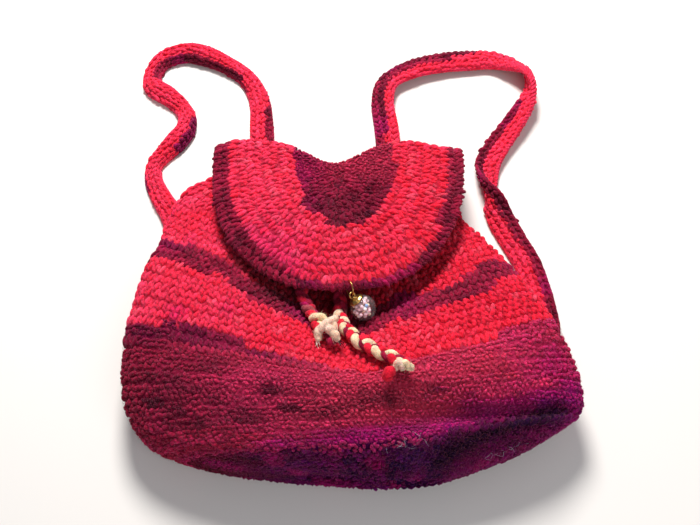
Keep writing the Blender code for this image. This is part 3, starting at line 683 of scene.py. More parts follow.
def felt(yarn, p, t, u, n, w, h, tint, grains=3, rings=4, sides=5, seed=0, lift=None, bars=0.35, high=0.75,
         r0=1.12):
    """Felted crochet: a few short slanting grains to each stitch, and here
    and there a bar along the row."""
    m = len(p)
    if m == 0:
        return
    tt = np.linspace(0, 1, rings)
    idx = np.arange(m) + seed * 1021
    spots = ((-0.27, -0.26), (0.25, -0.18), (0.03, 0.24), (-0.47, 0.20))[:grains]
    for g, (gx, gy) in enumerate(spots):
        j = [hash01(idx, 101 + g * 11 + i) for i in range(7)]
        bar = j[0] < (bars * 1.3 if gy > 0 else bars * 0.3)
        tilt = np.where(bar, (j[1] - 0.5) * 0.8, (1.0 if g % 2 else 2.1) + (j[1] - 0.5) * 1.5)
        long = np.where(bar, w * (0.46 + 0.30 * j[2]), h * (0.34 + 0.26 * j[2]))
        x0 = (gx + (j[3] - 0.5) * 0.30) * w
        y0 = (gy + (j[4] - 0.5) * 0.26) * h
        x = x0[:, None] + (np.cos(tilt) * long)[:, None] * (tt - 0.5)[None]
        y = y0[:, None] + (np.sin(tilt) * long)[:, None] * (tt - 0.5)[None]
        z = (-1.50 - 0.40 * j[6])[:, None] + (high + 0.55 * j[5])[:, None] * np.sin(math.pi * (0.10 + 0.80 * tt))[None]
        r = (np.where(bar, r0 * 0.88, r0) * (0.88 + 0.30 * j[5]))[:, None] * np.interp(tt, [0, .3, .7, 1], [.66, 1, 1, .66])[None]
        r = r * np.clip(h / 7.5, 0.75, 1.2)[:, None]
        yarn.add(spine_of(p, t, u, n, np.stack([x, y, z], 2)), n, r, tint * (0.82 + 0.38 * j[4])[:, None], sides, 0.9, lift)


# ----------------------------------------------------------------- materials
def yarn_material(name, fibre=1.0, sheen=(1.0, 0.45, 0.55), rough=0.9):
    """Fuzzy wool: the strand's own colour with fine fibres and a soft sheen."""
    m = bpy.data.materials.new(name)
    m.use_nodes = True
    nt = m.node_tree
    b = nt.nodes["Principled BSDF"]
    b.inputs["Roughness"].default_value = rough
    b.inputs["Specular IOR Level"].default_value = 0.06
    b.inputs["Sheen Weight"].default_value = 0.13
    b.inputs["Subsurface Weight"].default_value = 0.55
    b.inputs["Subsurface Radius"].default_value = (1.0, 0.35, 0.45)
    b.inputs["Subsurface Scale"].default_value = 0.0016
    b.inputs["Sheen Roughness"].default_value = 0.42
    b.inputs["Sheen Tint"].default_value = (*sheen, 1)
    tint = nt.nodes.new("ShaderNodeAttribute")
    tint.attribute_name = "tint"
    coord = nt.nodes.new("ShaderNodeTexCoord")
    uvmap = nt.nodes.new("ShaderNodeUVMap")
    uvmap.uv_map = "UVMap"
    # fibres: fine uneven grain
    grain = nt.nodes.new("ShaderNodeTexNoise")
    grain.inputs["Scale"].default_value = 1500 * fibre
    grain.inputs["Detail"].default_value = 2.0
    grain.inputs["Roughness"].default_value = 0.65
    nt.links.new(coord.outputs["Object"], grain.inputs["Vector"])
    # plies: slanting ridges along each strand
    sep = nt.nodes.new("ShaderNodeSeparateXYZ")
    nt.links.new(uvmap.outputs["UV"], sep.inputs[0])
    ply = nt.nodes.new("ShaderNodeMath")
    ply.operation = "MULTIPLY_ADD"
    ply.inputs[1].default_value = 2.4
    nt.links.new(sep.outputs["X"], ply.inputs[0])
    nt.links.new(sep.outputs["Y"], ply.inputs[2])
    wave = nt.nodes.new("ShaderNodeMath")
    wave.operation = "MULTIPLY"
    wave.inputs[1].default_value = 2 * math.pi
    nt.links.new(ply.outputs[0], wave.inputs[0])
    sine = nt.nodes.new("ShaderNodeMath")
    sine.operation = "SINE"
    nt.links.new(wave.outputs[0], sine.inputs[0])
    # wisps: larger light and dark patches
    wisp = nt.nodes.new("ShaderNodeTexNoise")
    wisp.inputs["Scale"].default_value = 330
    wisp.inputs["Detail"].default_value = 3.0
    nt.links.new(coord.outputs["Object"], wisp.inputs["Vector"])
    ramp = nt.nodes.new("ShaderNodeMapRange")
    ramp.inputs["From Min"].default_value = 0.3
    ramp.inputs["From Max"].default_value = 0.7
    ramp.inputs["To Min"].default_value = 0.60
    ramp.inputs["To Max"].default_value = 1.38
    nt.links.new(grain.outputs["Fac"], ramp.inputs["Value"])
    ramp2 = nt.nodes.new("ShaderNodeMapRange")
    ramp2.inputs["From Min"].default_value = 0.3
    ramp2.inputs["From Max"].default_value = 0.7
    ramp2.inputs["To Min"].default_value = 0.82
    ramp2.inputs["To Max"].default_value = 1.16
    nt.links.new(wisp.outputs["Fac"], ramp2.inputs["Value"])
    mul = nt.nodes.new("ShaderNodeMath")
    mul.operation = "MULTIPLY"
    nt.links.new(ramp.outputs[0], mul.inputs[0])
    nt.links.new(ramp2.outputs[0], mul.inputs[1])
    ply_mix = nt.nodes.new("ShaderNodeMath")
    ply_mix.operation = "MULTIPLY_ADD"
    ply_mix.inputs[1].default_value = 0.10
    ply_mix.inputs[2].default_value = 1.0
    nt.links.new(sine.outputs[0], ply_mix.inputs[0])
    mul2 = nt.nodes.new("ShaderNodeMath")
    mul2.operation = "MULTIPLY"
    nt.links.new(mul.outputs[0], mul2.inputs[0])
    nt.links.new(ply_mix.outputs[0], mul2.inputs[1])
    colour = nt.nodes.new("ShaderNodeVectorMath")
    colour.operation = "SCALE"
    nt.links.new(tint.outputs["Color"], colour.inputs[0])
    nt.links.new(mul2.outputs[0], colour.inputs["Scale"])
    nt.links.new(colour.outputs[0], b.inputs["Base Color"])
    height = nt.nodes.new("ShaderNodeMath")
    height.operation = "MULTIPLY_ADD"
    height.inputs[1].default_value = 0.35
    nt.links.new(sine.outputs[0], height.inputs[0])
    nt.links.new(grain.outputs["Fac"], height.inputs[2])
    bump = nt.nodes.new("ShaderNodeBump")
    bump.inputs["Strength"].default_value = 0.75
    bump.inputs["Distance"].default_value = 0.0007
    nt.links.new(height.outputs[0], bump.inputs["Height"])
    nt.links.new(bump.outputs[0], b.inputs["Normal"])
    return m


def core_material(name):
    """The fabric behind the stitches: felted yarn in the tint it is given, which the callers darken as painted shade
    between the stitches.
    """
    m = bpy.data.materials.new(name)
    m.use_nodes = True
    nt = m.node_tree
    b = nt.nodes["Principled BSDF"]
    b.inputs["Roughness"].default_value = 0.95
    b.inputs["Specular IOR Level"].default_value = 0.03
    tint = nt.nodes.new("ShaderNodeAttribute")
    tint.attribute_name = "tint"
    coord = nt.nodes.new("ShaderNodeTexCoord")
    knit = nt.nodes.new("ShaderNodeTexVoronoi")
    knit.inputs["Scale"].default_value = 330
    nt.links.new(coord.outputs["Object"], knit.inputs["Vector"])
    grain = nt.nodes.new("ShaderNodeTexNoise")
    grain.inputs["Scale"].default_value = 1300
    nt.links.new(coord.outputs["Object"], grain.inputs["Vector"])
    ramp = nt.nodes.new("ShaderNodeMapRange")
    ramp.inputs["To Min"].default_value = 1.18
    ramp.inputs["To Max"].default_value = 0.78
    ramp.inputs["From Max"].default_value = 0.75
    nt.links.new(knit.outputs["Distance"], ramp.inputs["Value"])
    colour = nt.nodes.new("ShaderNodeVectorMath")
    colour.operation = "SCALE"
    nt.links.new(tint.outputs["Color"], colour.inputs[0])
    nt.links.new(ramp.outputs[0], colour.inputs["Scale"])
    nt.links.new(colour.outputs[0], b.inputs["Base Color"])
    add = nt.nodes.new("ShaderNodeMath")
    add.operation = "MULTIPLY_ADD"
    add.inputs[1].default_value = -2.0
    nt.links.new(knit.outputs["Distance"], add.inputs[0])
    nt.links.new(grain.outputs["Fac"], add.inputs[2])
    bump = nt.nodes.new("ShaderNodeBump")
    bump.inputs["Strength"].default_value = 0.8
    bump.inputs["Distance"].default_value = 0.001
    nt.links.new(add.outputs[0], bump.inputs["Height"])
    nt.links.new(bump.outputs[0], b.inputs["Normal"])
    return m


WOOL = yarn_material("wool")
CORE = core_material("wool_core")

# ------------------------------------------------------------- the bag's body
LAST = len(BODY_ROUNDS) - 1


def body_axes(s, a):
    """Place, direction along the row, up the rows and outwards on the body."""
    e = 3e-3
    p = body_point(s, a)
    lo, hi = np.maximum(s - e, 0), np.minimum(s + e, LAST)
    up = body_point(hi, a) - body_point(lo, a)
    size = np.linalg.norm(up, axis=-1) / (hi - lo)
    up /= np.maximum(np.linalg.norm(up, axis=-1, keepdims=True), 1e-9)
    way = body_point(s, a - e) - body_point(s, a + e)
    way /= np.maximum(np.linalg.norm(way, axis=-1, keepdims=True), 1e-9)
    n = np.cross(way, up)
    n /= np.maximum(np.linalg.norm(n, axis=-1, keepdims=True), 1e-9)
    return p, way, up, n, size


def even_angles(s, count, shift):
    """Angles of count places evenly spaced round the body at round s."""
    a = np.linspace(-math.pi / 2, 1.5 * math.pi, 1201)
    p = body_point(np.full(len(a), s), a)
    run = np.concatenate([[0], np.cumsum(np.linalg.norm(np.diff(p, axis=0), axis=1))])
    t = (np.arange(count) + shift) / count * run[-1]
    return np.interp(t, run, a), run[-1], t


# arc length up the body, averaged round it, to space the rows evenly
_s = np.linspace(0, LAST, 601)
_a = np.radians(np.linspace(60, 240, 25))
_p = np.stack([body_point(_s, np.full(len(_s), v)) for v in _a])
_up = np.concatenate([[0], np.cumsum(np.linalg.norm(np.diff(_p, axis=1), axis=2).mean(0))])


def row_edges(s0, s1, rows):
    """Round numbers of the edges of evenly high rows between two rounds."""
    return np.interp(np.linspace(np.interp(s0, _s, _up), np.interp(s1, _s, _up), rows + 1), _up, _s)


def edge_line(rows):
    """Where two colours of yarn meet: the round as a function of the angle."""
    deg = np.array([r[0] for r in rows], float)
    val = np.array([r[1] for r in rows], float)

    def at(a):
        d = np.degrees(np.mod(a + math.pi / 2, 2 * math.pi)) - 90.0
        return np.interp(d, deg, val)
    return at


# base to lower part, lower part to red, red to stripe and stripe to red
BASE_EDGE = edge_line(((-90, 2.0), (-30, 2.2), (0, 3.0), (30, 3.05), (56, 2.97), (69, 2.44), (78, 2.0), (90, 1.95),
                       (110, 1.88), (130, 1.6), (180, 1.7), (270, 2.0)))
LOWER_EDGE = edge_line(((-90, 7.0), (0, 7.1), (19, 7.11), (32, 7.07), (40, 7.11), (46, 6.88), (51, 6.69), (57, 6.58),
                        (65, 6.58), (74, 6.43), (78, 6.47), (83.5, 6.13), (87, 6.24), (90, 6.47), (93, 6.95), (100, 6.95),
                        (105, 7.11), (110, 7.11), (111.6, 7.41), (118, 7.33), (132, 7.26), (147, 7.03), (170, 6.95),
                        (180, 6.95), (270, 7.0)))
STRIPE_LOW = edge_line(((-90, 9.0), (0, 9.2), (20, 9.17), (32, 8.98), (44, 8.61), (51, 8.5), (57, 8.42), (65, 8.57),
                        (71, 8.61), (76, 8.72), (81, 8.57), (90, 8.7), (100, 8.74), (107, 8.8), (112, 8.98), (116, 9.25),
                        (121, 9.36), (130, 9.25), (140, 9.14), (156, 8.98), (180, 8.9), (270, 9.0)))
STRIPE_TOP = edge_line(((-90, 10.0), (0, 9.9), (14, 9.89), (23, 10.08), (34, 10.19), (42, 9.96), (50, 9.59), (56, 9.51),
                        (63, 9.81), (70, 10.34), (75, 10.3), (95, 10.1), (109, 10.08), (116, 10.3), (121, 10.41),
                        (134, 10.38), (147, 10.26), (168, 10.15), (180, 10.1), (270, 10.0)))


def band_of(s, a):
    """0 base, 1 lower part, 2 red, 3 stripe, 4 red above it."""
    return ((s > BASE_EDGE(a)).astype(int) + (s > LOWER_EDGE(a)) + (s > STRIPE_LOW(a)) + (s > STRIPE_TOP(a)))


def spots_at(p, spots, grow=1.0):
    """How much of each place is in one of the spots (x, y, half width, half height)."""
    out = np.zeros(len(p))
    for x, y, rx, ry in spots:
        out = np.maximum(out, np.exp(-((p[:, 0] - x) / (rx * grow)) ** 2 - ((p[:, 1] - y) / (ry * grow)) ** 2))
    return out


# short runs of nearly black yarn in the lower part
BLACK_RUNS = ((-118, -78, 8, 4), (-128, -88, 7, 4), (-104, -86, 7, 3), (-134, -74, 5, 3), (-98, -104, 8, 3), (-90, -68, 10, 4), (-88, -92, 9, 4), (-70, -101, 14, 6),
              (-112, -99, 9, 5), (-54, -88, 5, 2.3), (-38, -97, 7, 2.4), (-14, -99, 10, 3), (7, -94, 8, 4), (24, -90, 13, 4), (57, -85, 9, 4),
              (-52, -84, 7, 3), (78, -92, 8, 4))


def crease_shade_of(p):
    """Nearness to the crease that runs up from the base to the right end, where painted shade darkens the yarn."""
    y = np.interp(p[:, 0], (48, 58, 83, 116, 136, 146), (-130, -124, -111, -99, -93, -89))
    return np.exp(-((p[:, 1] - y + 1.0) / 6.2) ** 2) * smooth(46, 60, p[:, 0]) * (1 - smooth(138, 148, p[:, 0]))


def dark_tint(p, run, row):
    """Lower part: wine and raspberry streaks, black patches, more magenta to
    the right and plum along the bottom."""
    x, y = p[:, 0], p[:, 1]
    streak = wander(run / 16.0 + row * 3.7, 5)
    patch = wander(run / 15.0 + row * 5.3, 8)
    field = wander3(p, 30, 2)
    c = mix(YARN["wine"], YARN["raspberry"], 1.1 * (streak - 0.40) + 0.5 * (field - 0.4))
    # the left end is darker, the middle lighter
    c = mix(c, YARN["burgundy"], 0.78 * (1 - smooth(-120, -50, x)) * (0.45 + 0.55 * smooth(-100, -80, y)) * (0.45 + 0.7 * wander3(p, 24, 6)))
    middle = np.exp(-((x - 30) / 92) ** 2) * smooth(-112, -94, y)
    c = mix(c, YARN["rosewood"], middle * (0.98 + 0.45 * streak))
    c = mix(c, YARN["raspberry"], 0.5 * np.exp(-((x + 60) / 40) ** 2) * smooth(-112, -96, y) * (1 - smooth(-78, -66, y)))
    few = np.clip((patch - 0.60) * 4.0, 0, 0.7) * np.exp(-((y + 90) / 16.0) ** 2)
    c = mix(c, YARN["ink"], np.clip(0.70 * spots_at(p, BLACK_RUNS, 1.25) * (0.70 + 0.5 * patch) + 0.40 * few, 0, 0.85))
    east = smooth(30, 135, x) * (0.30 + 0.60 * wander3(p, 22, 9)) * (0.25 + 0.75 * (1 - smooth(-95, -62, y)))
    c = mix(c, YARN["magenta"], np.clip(east + 0.4 * (streak - 0.5) * smooth(0, 60, x), 0, 0.85))
    # purple yarn shows through along the bottom, higher up to the right
    edge = np.interp(x, (-75, -50, -20, 0, 60, 100, 131, 150), (-124, -116, -112, -109, -98, -89, -81, -72))
    low = 1 - smooth(edge - 7, edge + 5, y)
    c = mix(c, mix(YARN["plum"], YARN["violet"], 1.5 * (wander3(p, 12, 4) - 0.2)), low * (0.45 + 0.5 * wander3(p, 9, 14)))
    c = mix(c, YARN["magenta"], low * np.clip((streak - 0.5) * 2.0, 0, 0.8))
    c = mix(c, YARN["magenta"], 0.95 * spots_at(p, ((139, -56, 10, 9), (149, -71, 9, 12), (134, -66, 8, 6))) * (0.5 + 0.7 * streak))
    # a brighter ridge over the crease, then painted shade, dark indigo, in the crease itself
    ridge_y = np.interp(x, (80, 93, 131, 142), (-89, -86, -77, -74))
    c = mix(c, mix(YARN["rose"], YARN["magenta"], 0.35), 0.75 * np.exp(-((y - ridge_y) / 1.9) ** 2) * smooth(78, 92, x) * (1 - smooth(130, 142, x)))
    return mix(c, YARN["indigo"] * 0.35, 0.95 * crease_shade_of(p))


def red_tint(p, run, row):
    x, y = p[:, 0], p[:, 1]
    fleck = wander(run / 7.0 + row * 7.1, 15)
    field = wander3(p, 34, 12)
    c = mix(YARN["red"], YARN["coral"], 0.15 + 0.9 * field)
    c = mix(c, YARN["rose"], 0.55 * (fleck - 0.45) + 0.62 * (1 - smooth(-140, -10, x)) * (0.25 + wander3(p, 24, 3)))
    c = mix(c, YARN["magenta"], np.clip((wander3(p, 19, 41) - 0.70) * 1.8, 0, 0.35) * (1 - smooth(-120, 0, x)))
    # painted shade in the hollow under the flap
    deep = np.exp(-((x + 5) / 55) ** 2) * smooth(-40, -10, y) * (1 - smooth(20, 60, y))
    c = c * (1 - 0.20 * deep)[:, None]
    # pale pink on a few stitches: partly pale flecks in the yarn, partly painted glints
    pale_fleck_and_glint = hash01(np.arange(len(p)) * 5 + row * 151, 95)
    low = np.exp(-((x + 18) / 34) ** 2) * np.exp(-((y + 56) / 12) ** 2)
    c = c * (0.90 + 0.09 * (1 - smooth(-45, -10, y)) - 0.12 * low)[:, None]
    return mix(c, YARN["pink"], np.where(pale_fleck_and_glint > 0.91, 0.17, 0.0))


def stripe_tint(p, run, row):
    c = mix(YARN["burgundy"], YARN["wine"], 0.2 + 0.9 * wander(run / 12.0 + row * 3.1, 51))
    c = mix(c, YARN["ink"], np.clip((wander(run / 15.0 + row * 6.1, 53) - 0.55) * 1.6, 0, 0.55))
    return mix(c, YARN["magenta"], np.clip((wander3(p, 33, 22) - 0.62) * 1.6, 0, 0.4))


def base_tint(p, run, row):
    x, y = p[:, 0], p[:, 1]
    blend = wander(run / 13.0 + row * 4.3, 61)
    other = wander(run / 17.0 + row * 2.3, 67)
    c = mix(YARN["plum"], YARN["violet"], 1.3 * (blend - 0.25))
    c = mix(YARN["burgundy"], c, smooth(-95, -25, x) * 0.85 + 0.15 * blend)
    c = mix(c, YARN["indigo"], np.clip((other - 0.52) * 3.0, 0, 0.85) * smooth(-90, -10, x))
    c = mix(c, YARN["magenta"], np.clip((wander3(p, 13, 28) - 0.50) * 2.8, 0, 0.85))
    c = mix(c, YARN["dusk"], 0.85 * spots_at(p, ((44, -124, 13, 9), (58, -115, 9, 4))) * (0.5 + 0.6 * blend))
    c = mix(c, YARN["ink"], 0.45 * spots_at(p, ((76, -122, 12, 5),)) * (0.5 + 0.7 * other))
    # the lip that curls up at the right end is magenta
    lip = spots_at(p, ((142, -96, 12, 8), (150, -88, 9, 8), (126, -107, 10, 4)))
    c = mix(c, mix(YARN["violet"], YARN["magenta"], 0.35), lip * (0.45 + 0.5 * other))
    lobe = smooth(54, 74, x) * (1 - smooth(126, 140, x))
    c = mix(c * 0.62, mix(YARN["plum"], YARN["magenta"], 0.15 + 0.65 * blend) * 0.55, 0.7 * lobe * (0.5 + 0.6 * other))
    # painted shade in the crease, dark indigo
    return mix(c, YARN["indigo"] * 0.30, 0.95 * crease_shade_of(p))


def body_tint(p, s, a, run, row):
    band = band_of(s, a)[:, None]
    dark = dark_tint(p, run, row)
    # a darker, purplish run just below the red at the left
    edge = LOWER_EDGE(a)
    near = smooth(edge - 1.1, edge - 0.35, s) * (1 - smooth(-50, 5, p[:, 0]))
    dark = mix(dark, mix(YARN["burgundy"], YARN["plum"], 0.45) * 0.8, 0.75 * near * (0.5 + 0.6 * wander(run / 13.0 + row * 2.9, 88)))
    c = np.where(band == 0, base_tint(p, run, row), dark)
    c = np.where((band == 2) | (band == 4), red_tint(p, run, row), c)
    c = np.where(band == 3, stripe_tint(p, run, row), c)
    # painted shadow of the flap on the body, in the fold tucked under it
    x, y = p[:, 0], p[:, 1]
    fold = smooth(-84, -73, x + 0.45 * (y - 20)) * smooth(-20, -6, y) * (1 - smooth(-10, 40, x)) * (1 - smooth(55, 80, y))
    return c * (1 - 0.60 * fold)[:, None], band[:, 0]


def body_rows(name, edges, first, last, seed=0, pitch=6.85):
    """One mesh of all the stitches of some rows between two rounds."""
    yarn = Yarn()
    for r in range(first, last):
        mid, ds = (edges[r] + edges[r + 1]) / 2, edges[r + 1] - edges[r]
        length = even_angles(mid, 4, 0)[1]
        count = max(24, int(round(length / pitch)))
        a, length, t = even_angles(mid, count, 0.31 * r + 0.17 * math.sin(3.1 * (r + seed)))
        # rows lie a little unevenly
        s = mid + ds * (0.12 * np.sin(a * 5 + seed + r * 1.7) + 0.16 * (hash01(np.arange(count) + r * 59, 93) - 0.5))
        s = np.clip(s, 0.02, LAST - 0.02)
        p, way, up, n, size = body_axes(s, a)
        w = np.linalg.norm(np.roll(p, -1, axis=0) - p, axis=1)
        h = np.clip(size * ds, 3.0, 10.5)
        tint, band = body_tint(p, np.full(count, mid), a, t, r + seed * 13)
        above = band_of(np.full(count, mid + ds), a)
        tall = np.where(above != band, np.where(h > 9, 1.25, 1.5), 1.0)
        # the lower part shows the back of its stitches, except near the red
        ridged = band == 1
        swap = wander3(p, 26, 77) + 0.35 * (hash01(np.arange(count) + r * 173, 91) - 0.5)
        ridged &= swap < np.where(mid > 6.2, np.where(p[:, 0] > 40, 0.80, 0.45), 0.86)
        for show, rings, sides in ((np.sin(a) > -0.34, 5, 6), (np.sin(a) <= -0.34, 4, 4)):
            g = show & ~ridged
            lean = 1.0
            vee(yarn, p[g], way[g], up[g], n[g], w[g], h[g], tint[g], rings=rings, sides=sides,
                seed=seed * 50 + r, lift=0.15, tall=tall[g], lean=lean)
            g = show & ridged
            front = sides > 4
            felt(yarn, p[g], way[g], up[g], n[g], w[g], h[g], tint[g], 4 if front else 2, 4 if front else 3,
                 5 if front else 4, seed * 50 + r, 0.15, bars=0.62 if r % 3 == 1 else 0.28, r0=1.22)
    return yarn.make(name, WOOL)


def base_rows(name, seed=7):
    """Radial stitches of the base, fewer where the base is narrower."""
    yarn = Yarn()
    columns = 84
    a, length, run = even_angles(1.4, columns, 0.3)
    fine = np.linspace(0.0, 2.0, 41)
    done = []
    for j, ang in enumerate(a):
        line = body_point(fine, np.full(len(fine), ang))
        arc = np.concatenate([[0], np.cumsum(np.linalg.norm(np.diff(line, axis=0), axis=1))])
        m = max(3, int(round(arc[-1] / 6.6)))
        mids = (np.arange(m) + 0.5 + (0.25 if j % 2 else -0.12)) / m * arc[-1]
        for i, q in enumerate(mids):
            done.append((np.interp(q, arc, fine), ang, arc[-1] / m, q, j, m - i))
    done = np.array(done)
    s, ang = np.clip(done[:, 0], 0.02, 1.98), done[:, 1]
    p, way, up, n, size = body_axes(s, ang)
    ring = np.array([even_angles(v, 8, 0)[1] for v in np.linspace(0, 2, 21)])
    w = np.clip(np.interp(s, np.linspace(0, 2, 21), ring) / columns, 2.6, 8.2)
    h = done[:, 2]
    tint = base_tint(p, done[:, 5] * 61.0 + done[:, 4] * 6.4, done[:, 5])
    # the round that turns from the base to the side is redder
    rim = np.clip(1 - (done[:, 5] - 1) / 1.2, 0, 1)
    tint = mix(tint, YARN["raspberry"], rim * 0.50 * (1 - smooth(40, 62, p[:, 0])))
    show = np.sin(ang) > -0.34
    for part, grains, rings, sides in ((show, 4, 4, 5), (~show, 2, 3, 4)):
        felt(yarn, p[part], way[part], up[part], n[part], w[part], h[part], tint[part], grains, rings, sides,
             seed, 0.15, bars=0.08, high=0.9, r0=1.2)
    # the narrow middle of the base
    ring0 = body_point(np.zeros(240), np.arange(240) / 240 * 2 * math.pi)
    pole = ring0.mean(0) + (0, -0.8, 0)
    for i, f in enumerate((0.86, 0.58, 0.28)):
        loop = pole + (ring0 - pole) * f
        run = np.concatenate([[0], np.cumsum(np.linalg.norm(np.diff(np.vstack([loop, loop[:1]]), axis=0), axis=1))])
        count = max(8, int(run[-1] / 6.4))
        t = (np.arange(count) + 0.5 * (i % 2)) / count * run[-1]
        ang = np.interp(t, run, np.arange(241) / 240 * 2 * math.pi)
        at = pole + (body_point(np.zeros(count), ang) - pole) * f
        out = body_point(np.zeros(count), ang) - pole
        out /= np.linalg.norm(out, axis=1, keepdims=True)
        nn = np.tile((0.0, -1.0, 0.0), (count, 1))
        side = np.cross(out, nn)
        side /= np.linalg.norm(side, axis=1, keepdims=True)
        felt(yarn, at, side, out, nn, np.full(count, 6.6), np.full(count, 6.4), base_tint(at, t + i * 50, i),
             3, 4, 5, seed + 5 + i, 0.15, bars=0.12)
    return yarn.make(name, WOOL)


def body_core(name):
    """The fabric behind the stitches, open at the neck."""
    around, rows_out, rows_in = 150, 84, 44
    ang = np.arange(around) / around * 2 * math.pi
    so = np.linspace(0, LAST, rows_out)
    si = np.linspace(LAST, 0.15, rows_in)
    verts, tint = [], []
    for s in so:
        v = body_point(s, ang) - 1.2 * body_axes(np.full(around, s), ang)[3]
        v[:, 2] = np.maximum(v[:, 2], 0.4)
        if s == LAST:
            v[:, 1] = body_point(s, ang)[:, 1] - 0.3
        verts.append(v)
        # painted shade: the fabric seen between the stitches is darkened
        tint.append(body_tint(body_point(s, ang), np.full(around, s), ang, ang * 60, 0)[0] * 0.72)
    for s in si:
        v = body_point(s, ang) - 4.9 * body_axes(np.full(around, s), ang)[3]
        v[:, 2] = np.maximum(v[:, 2], 2.6)
        if s == LAST:
            v[:, 1] = body_point(s, ang)[:, 1] - 0.3
        verts.append(v)
        tint.append(body_tint(body_point(s, ang), np.full(around, s), ang, ang * 60, 0)[0] * 0.95)
    n_out = rows_out * around
    faces = grid_faces(rows_out, around) + grid_faces(rows_in, around, n_out)
    end = (rows_out - 1) * around
    for j in range(around):
        k = (j + 1) % around
        faces.append((end + j, end + k, n_out + k, n_out + j))
    verts = np.concatenate(verts)
    pole_out = verts[:around].mean(0) + (0, 0.4, 0)
    tail = len(verts) - around
    pole_in = verts[tail:].mean(0) + (0, 0.2, 0)
    verts = np.vstack([verts, pole_out, pole_in])
    tris = []
    for j in range(around):
        k = (j + 1) % around
        tris.append((k, j, len(verts) - 2))
        tris.append((tail + j, tail + k, len(verts) - 1))
    tint = np.vstack(tint + [YARN["indigo"] * 0.6, YARN["wine"] * 0.5])
    return add_mesh(name, verts, [np.array(faces), np.array(tris)], CORE, tint)


# --------------------------------------------------------------------- the flap
def flap_axes(k, u):
    e = 2e-3
    x, y = flap_round(k, u)
    p, n = flap_point(x, y), flap_normal(x, y)
    x1, y1 = flap_round(np.minimum(k + e, 1), u)
    x0, y0 = flap_round(np.maximum(k - e, 0), u)
    out = flap_point(x1, y1) - flap_point(x0, y0)
    size = np.linalg.norm(out, axis=-1) / (np.minimum(k + e, 1) - np.maximum(k - e, 0))
    x1, y1 = flap_round(k, np.minimum(u + e, 1))
    x0, y0 = flap_round(k, np.maximum(u - e, 0))
    way = flap_point(x1, y1) - flap_point(x0, y0)
    way /= np.maximum(np.linalg.norm(way, axis=-1, keepdims=True), 1e-9)
    out = np.cross(n, way)
    out *= -1
    out /= np.maximum(np.linalg.norm(out, axis=-1, keepdims=True), 1e-9)
    return p, way, out, n, size


FLAP_INNER = np.array(((0, .40), (.29, .395), (.385, .395), (.395, .415), (.435, .415), (.445, .395), (.47, .395), (.48, .42),
                       (.50, .44), (.53, .44), (.536, .475), (.68, .475), (.70, .455), (1, .455)))
FLAP_OUTER = np.array(((0, .85), (.28, .85), (.31, .88), (.40, .865), (.434, .889), (.467, .925), (.496, .945), (.57, .945),
                       (.604, .935), (.633, .91), (.664, .88), (.70, .864), (1, .855)))


def flap_tint(p, k, u, run, row):
    x, y = p[:, 0], p[:, 1]
    inner = np.interp(u, FLAP_INNER[:, 0], FLAP_INNER[:, 1])
    outer = np.interp(u, FLAP_OUTER[:, 0], FLAP_OUTER[:, 1])
    c_red = mix(YARN["red"], YARN["coral"], 0.2 + 0.9 * wander3(p, 33, 112))
    c_red = mix(c_red, YARN["rose"], 0.75 * (wander(run / 8.0 + row * 5.1, 115) - 0.30)
                + 0.35 * (1 - smooth(-90, 30, x)))
    # pale pink on a few stitches: partly pale flecks in the yarn, partly painted glints
    pale_fleck_and_glint = hash01(np.arange(len(p)) * 3 + row * 151, 97)
    c_red = mix(c_red, YARN["pink"], np.where(pale_fleck_and_glint > 0.90, 0.18, 0.0))
    magenta = (1 - smooth(-80, 0, x)) * (1 - smooth(10, 80, y)) * (0.20 + 0.75 * wander3(p, 17, 120))
    c_red = mix(c_red, YARN["magenta"], magenta * 0.75) * (0.83 + 0.12 * (1 - smooth(0, 50, y)))[:, None]
    c_mid = mix(YARN["burgundy"], YARN["wine"], 0.2 + 0.8 * wander(run / 14.0 + row * 3.3, 121))
    c_mid = mix(c_mid, YARN["rosewood"], 0.38 * smooth(78, 112, y) * smooth(-45, 5, x))
    c_mid = mix(c_mid, YARN["magenta"], (1 - smooth(-45, -10, x)) * 0.45 * wander3(p, 16, 123))
    c_mid = mix(c_mid, YARN["ink"], np.clip((wander(run / 11.0 + row * 6.3, 125) - 0.6) * 1.8, 0, 0.5)
                + 0.35 * (1 - smooth(60, 100, y)))
    c_edge = mix(YARN["burgundy"], YARN["wine"], 0.1 + 1.0 * wander(run / 13.0 + row * 3.7, 127))
    c_edge = mix(c_edge, YARN["ink"], np.clip((wander(run / 15.0 + row * 6.7, 129) - 0.5) * 1.8, 0, 0.6))
    c_edge = mix(c_edge, YARN["magenta"], np.clip((wander3(p, 26, 131) - 0.6) * 2.0, 0, 0.25) * (1 - smooth(20, 70, y)))
    c_edge = mix(c_edge, YARN["rosewood"], 0.19 * smooth(50, 80, x) * smooth(40, 90, y))
    out = np.where((k < inner)[:, None], c_mid, np.where((k < outer)[:, None], c_red, c_edge))
    return out, k < inner, k >= outer


FLAP_ROWS = 16


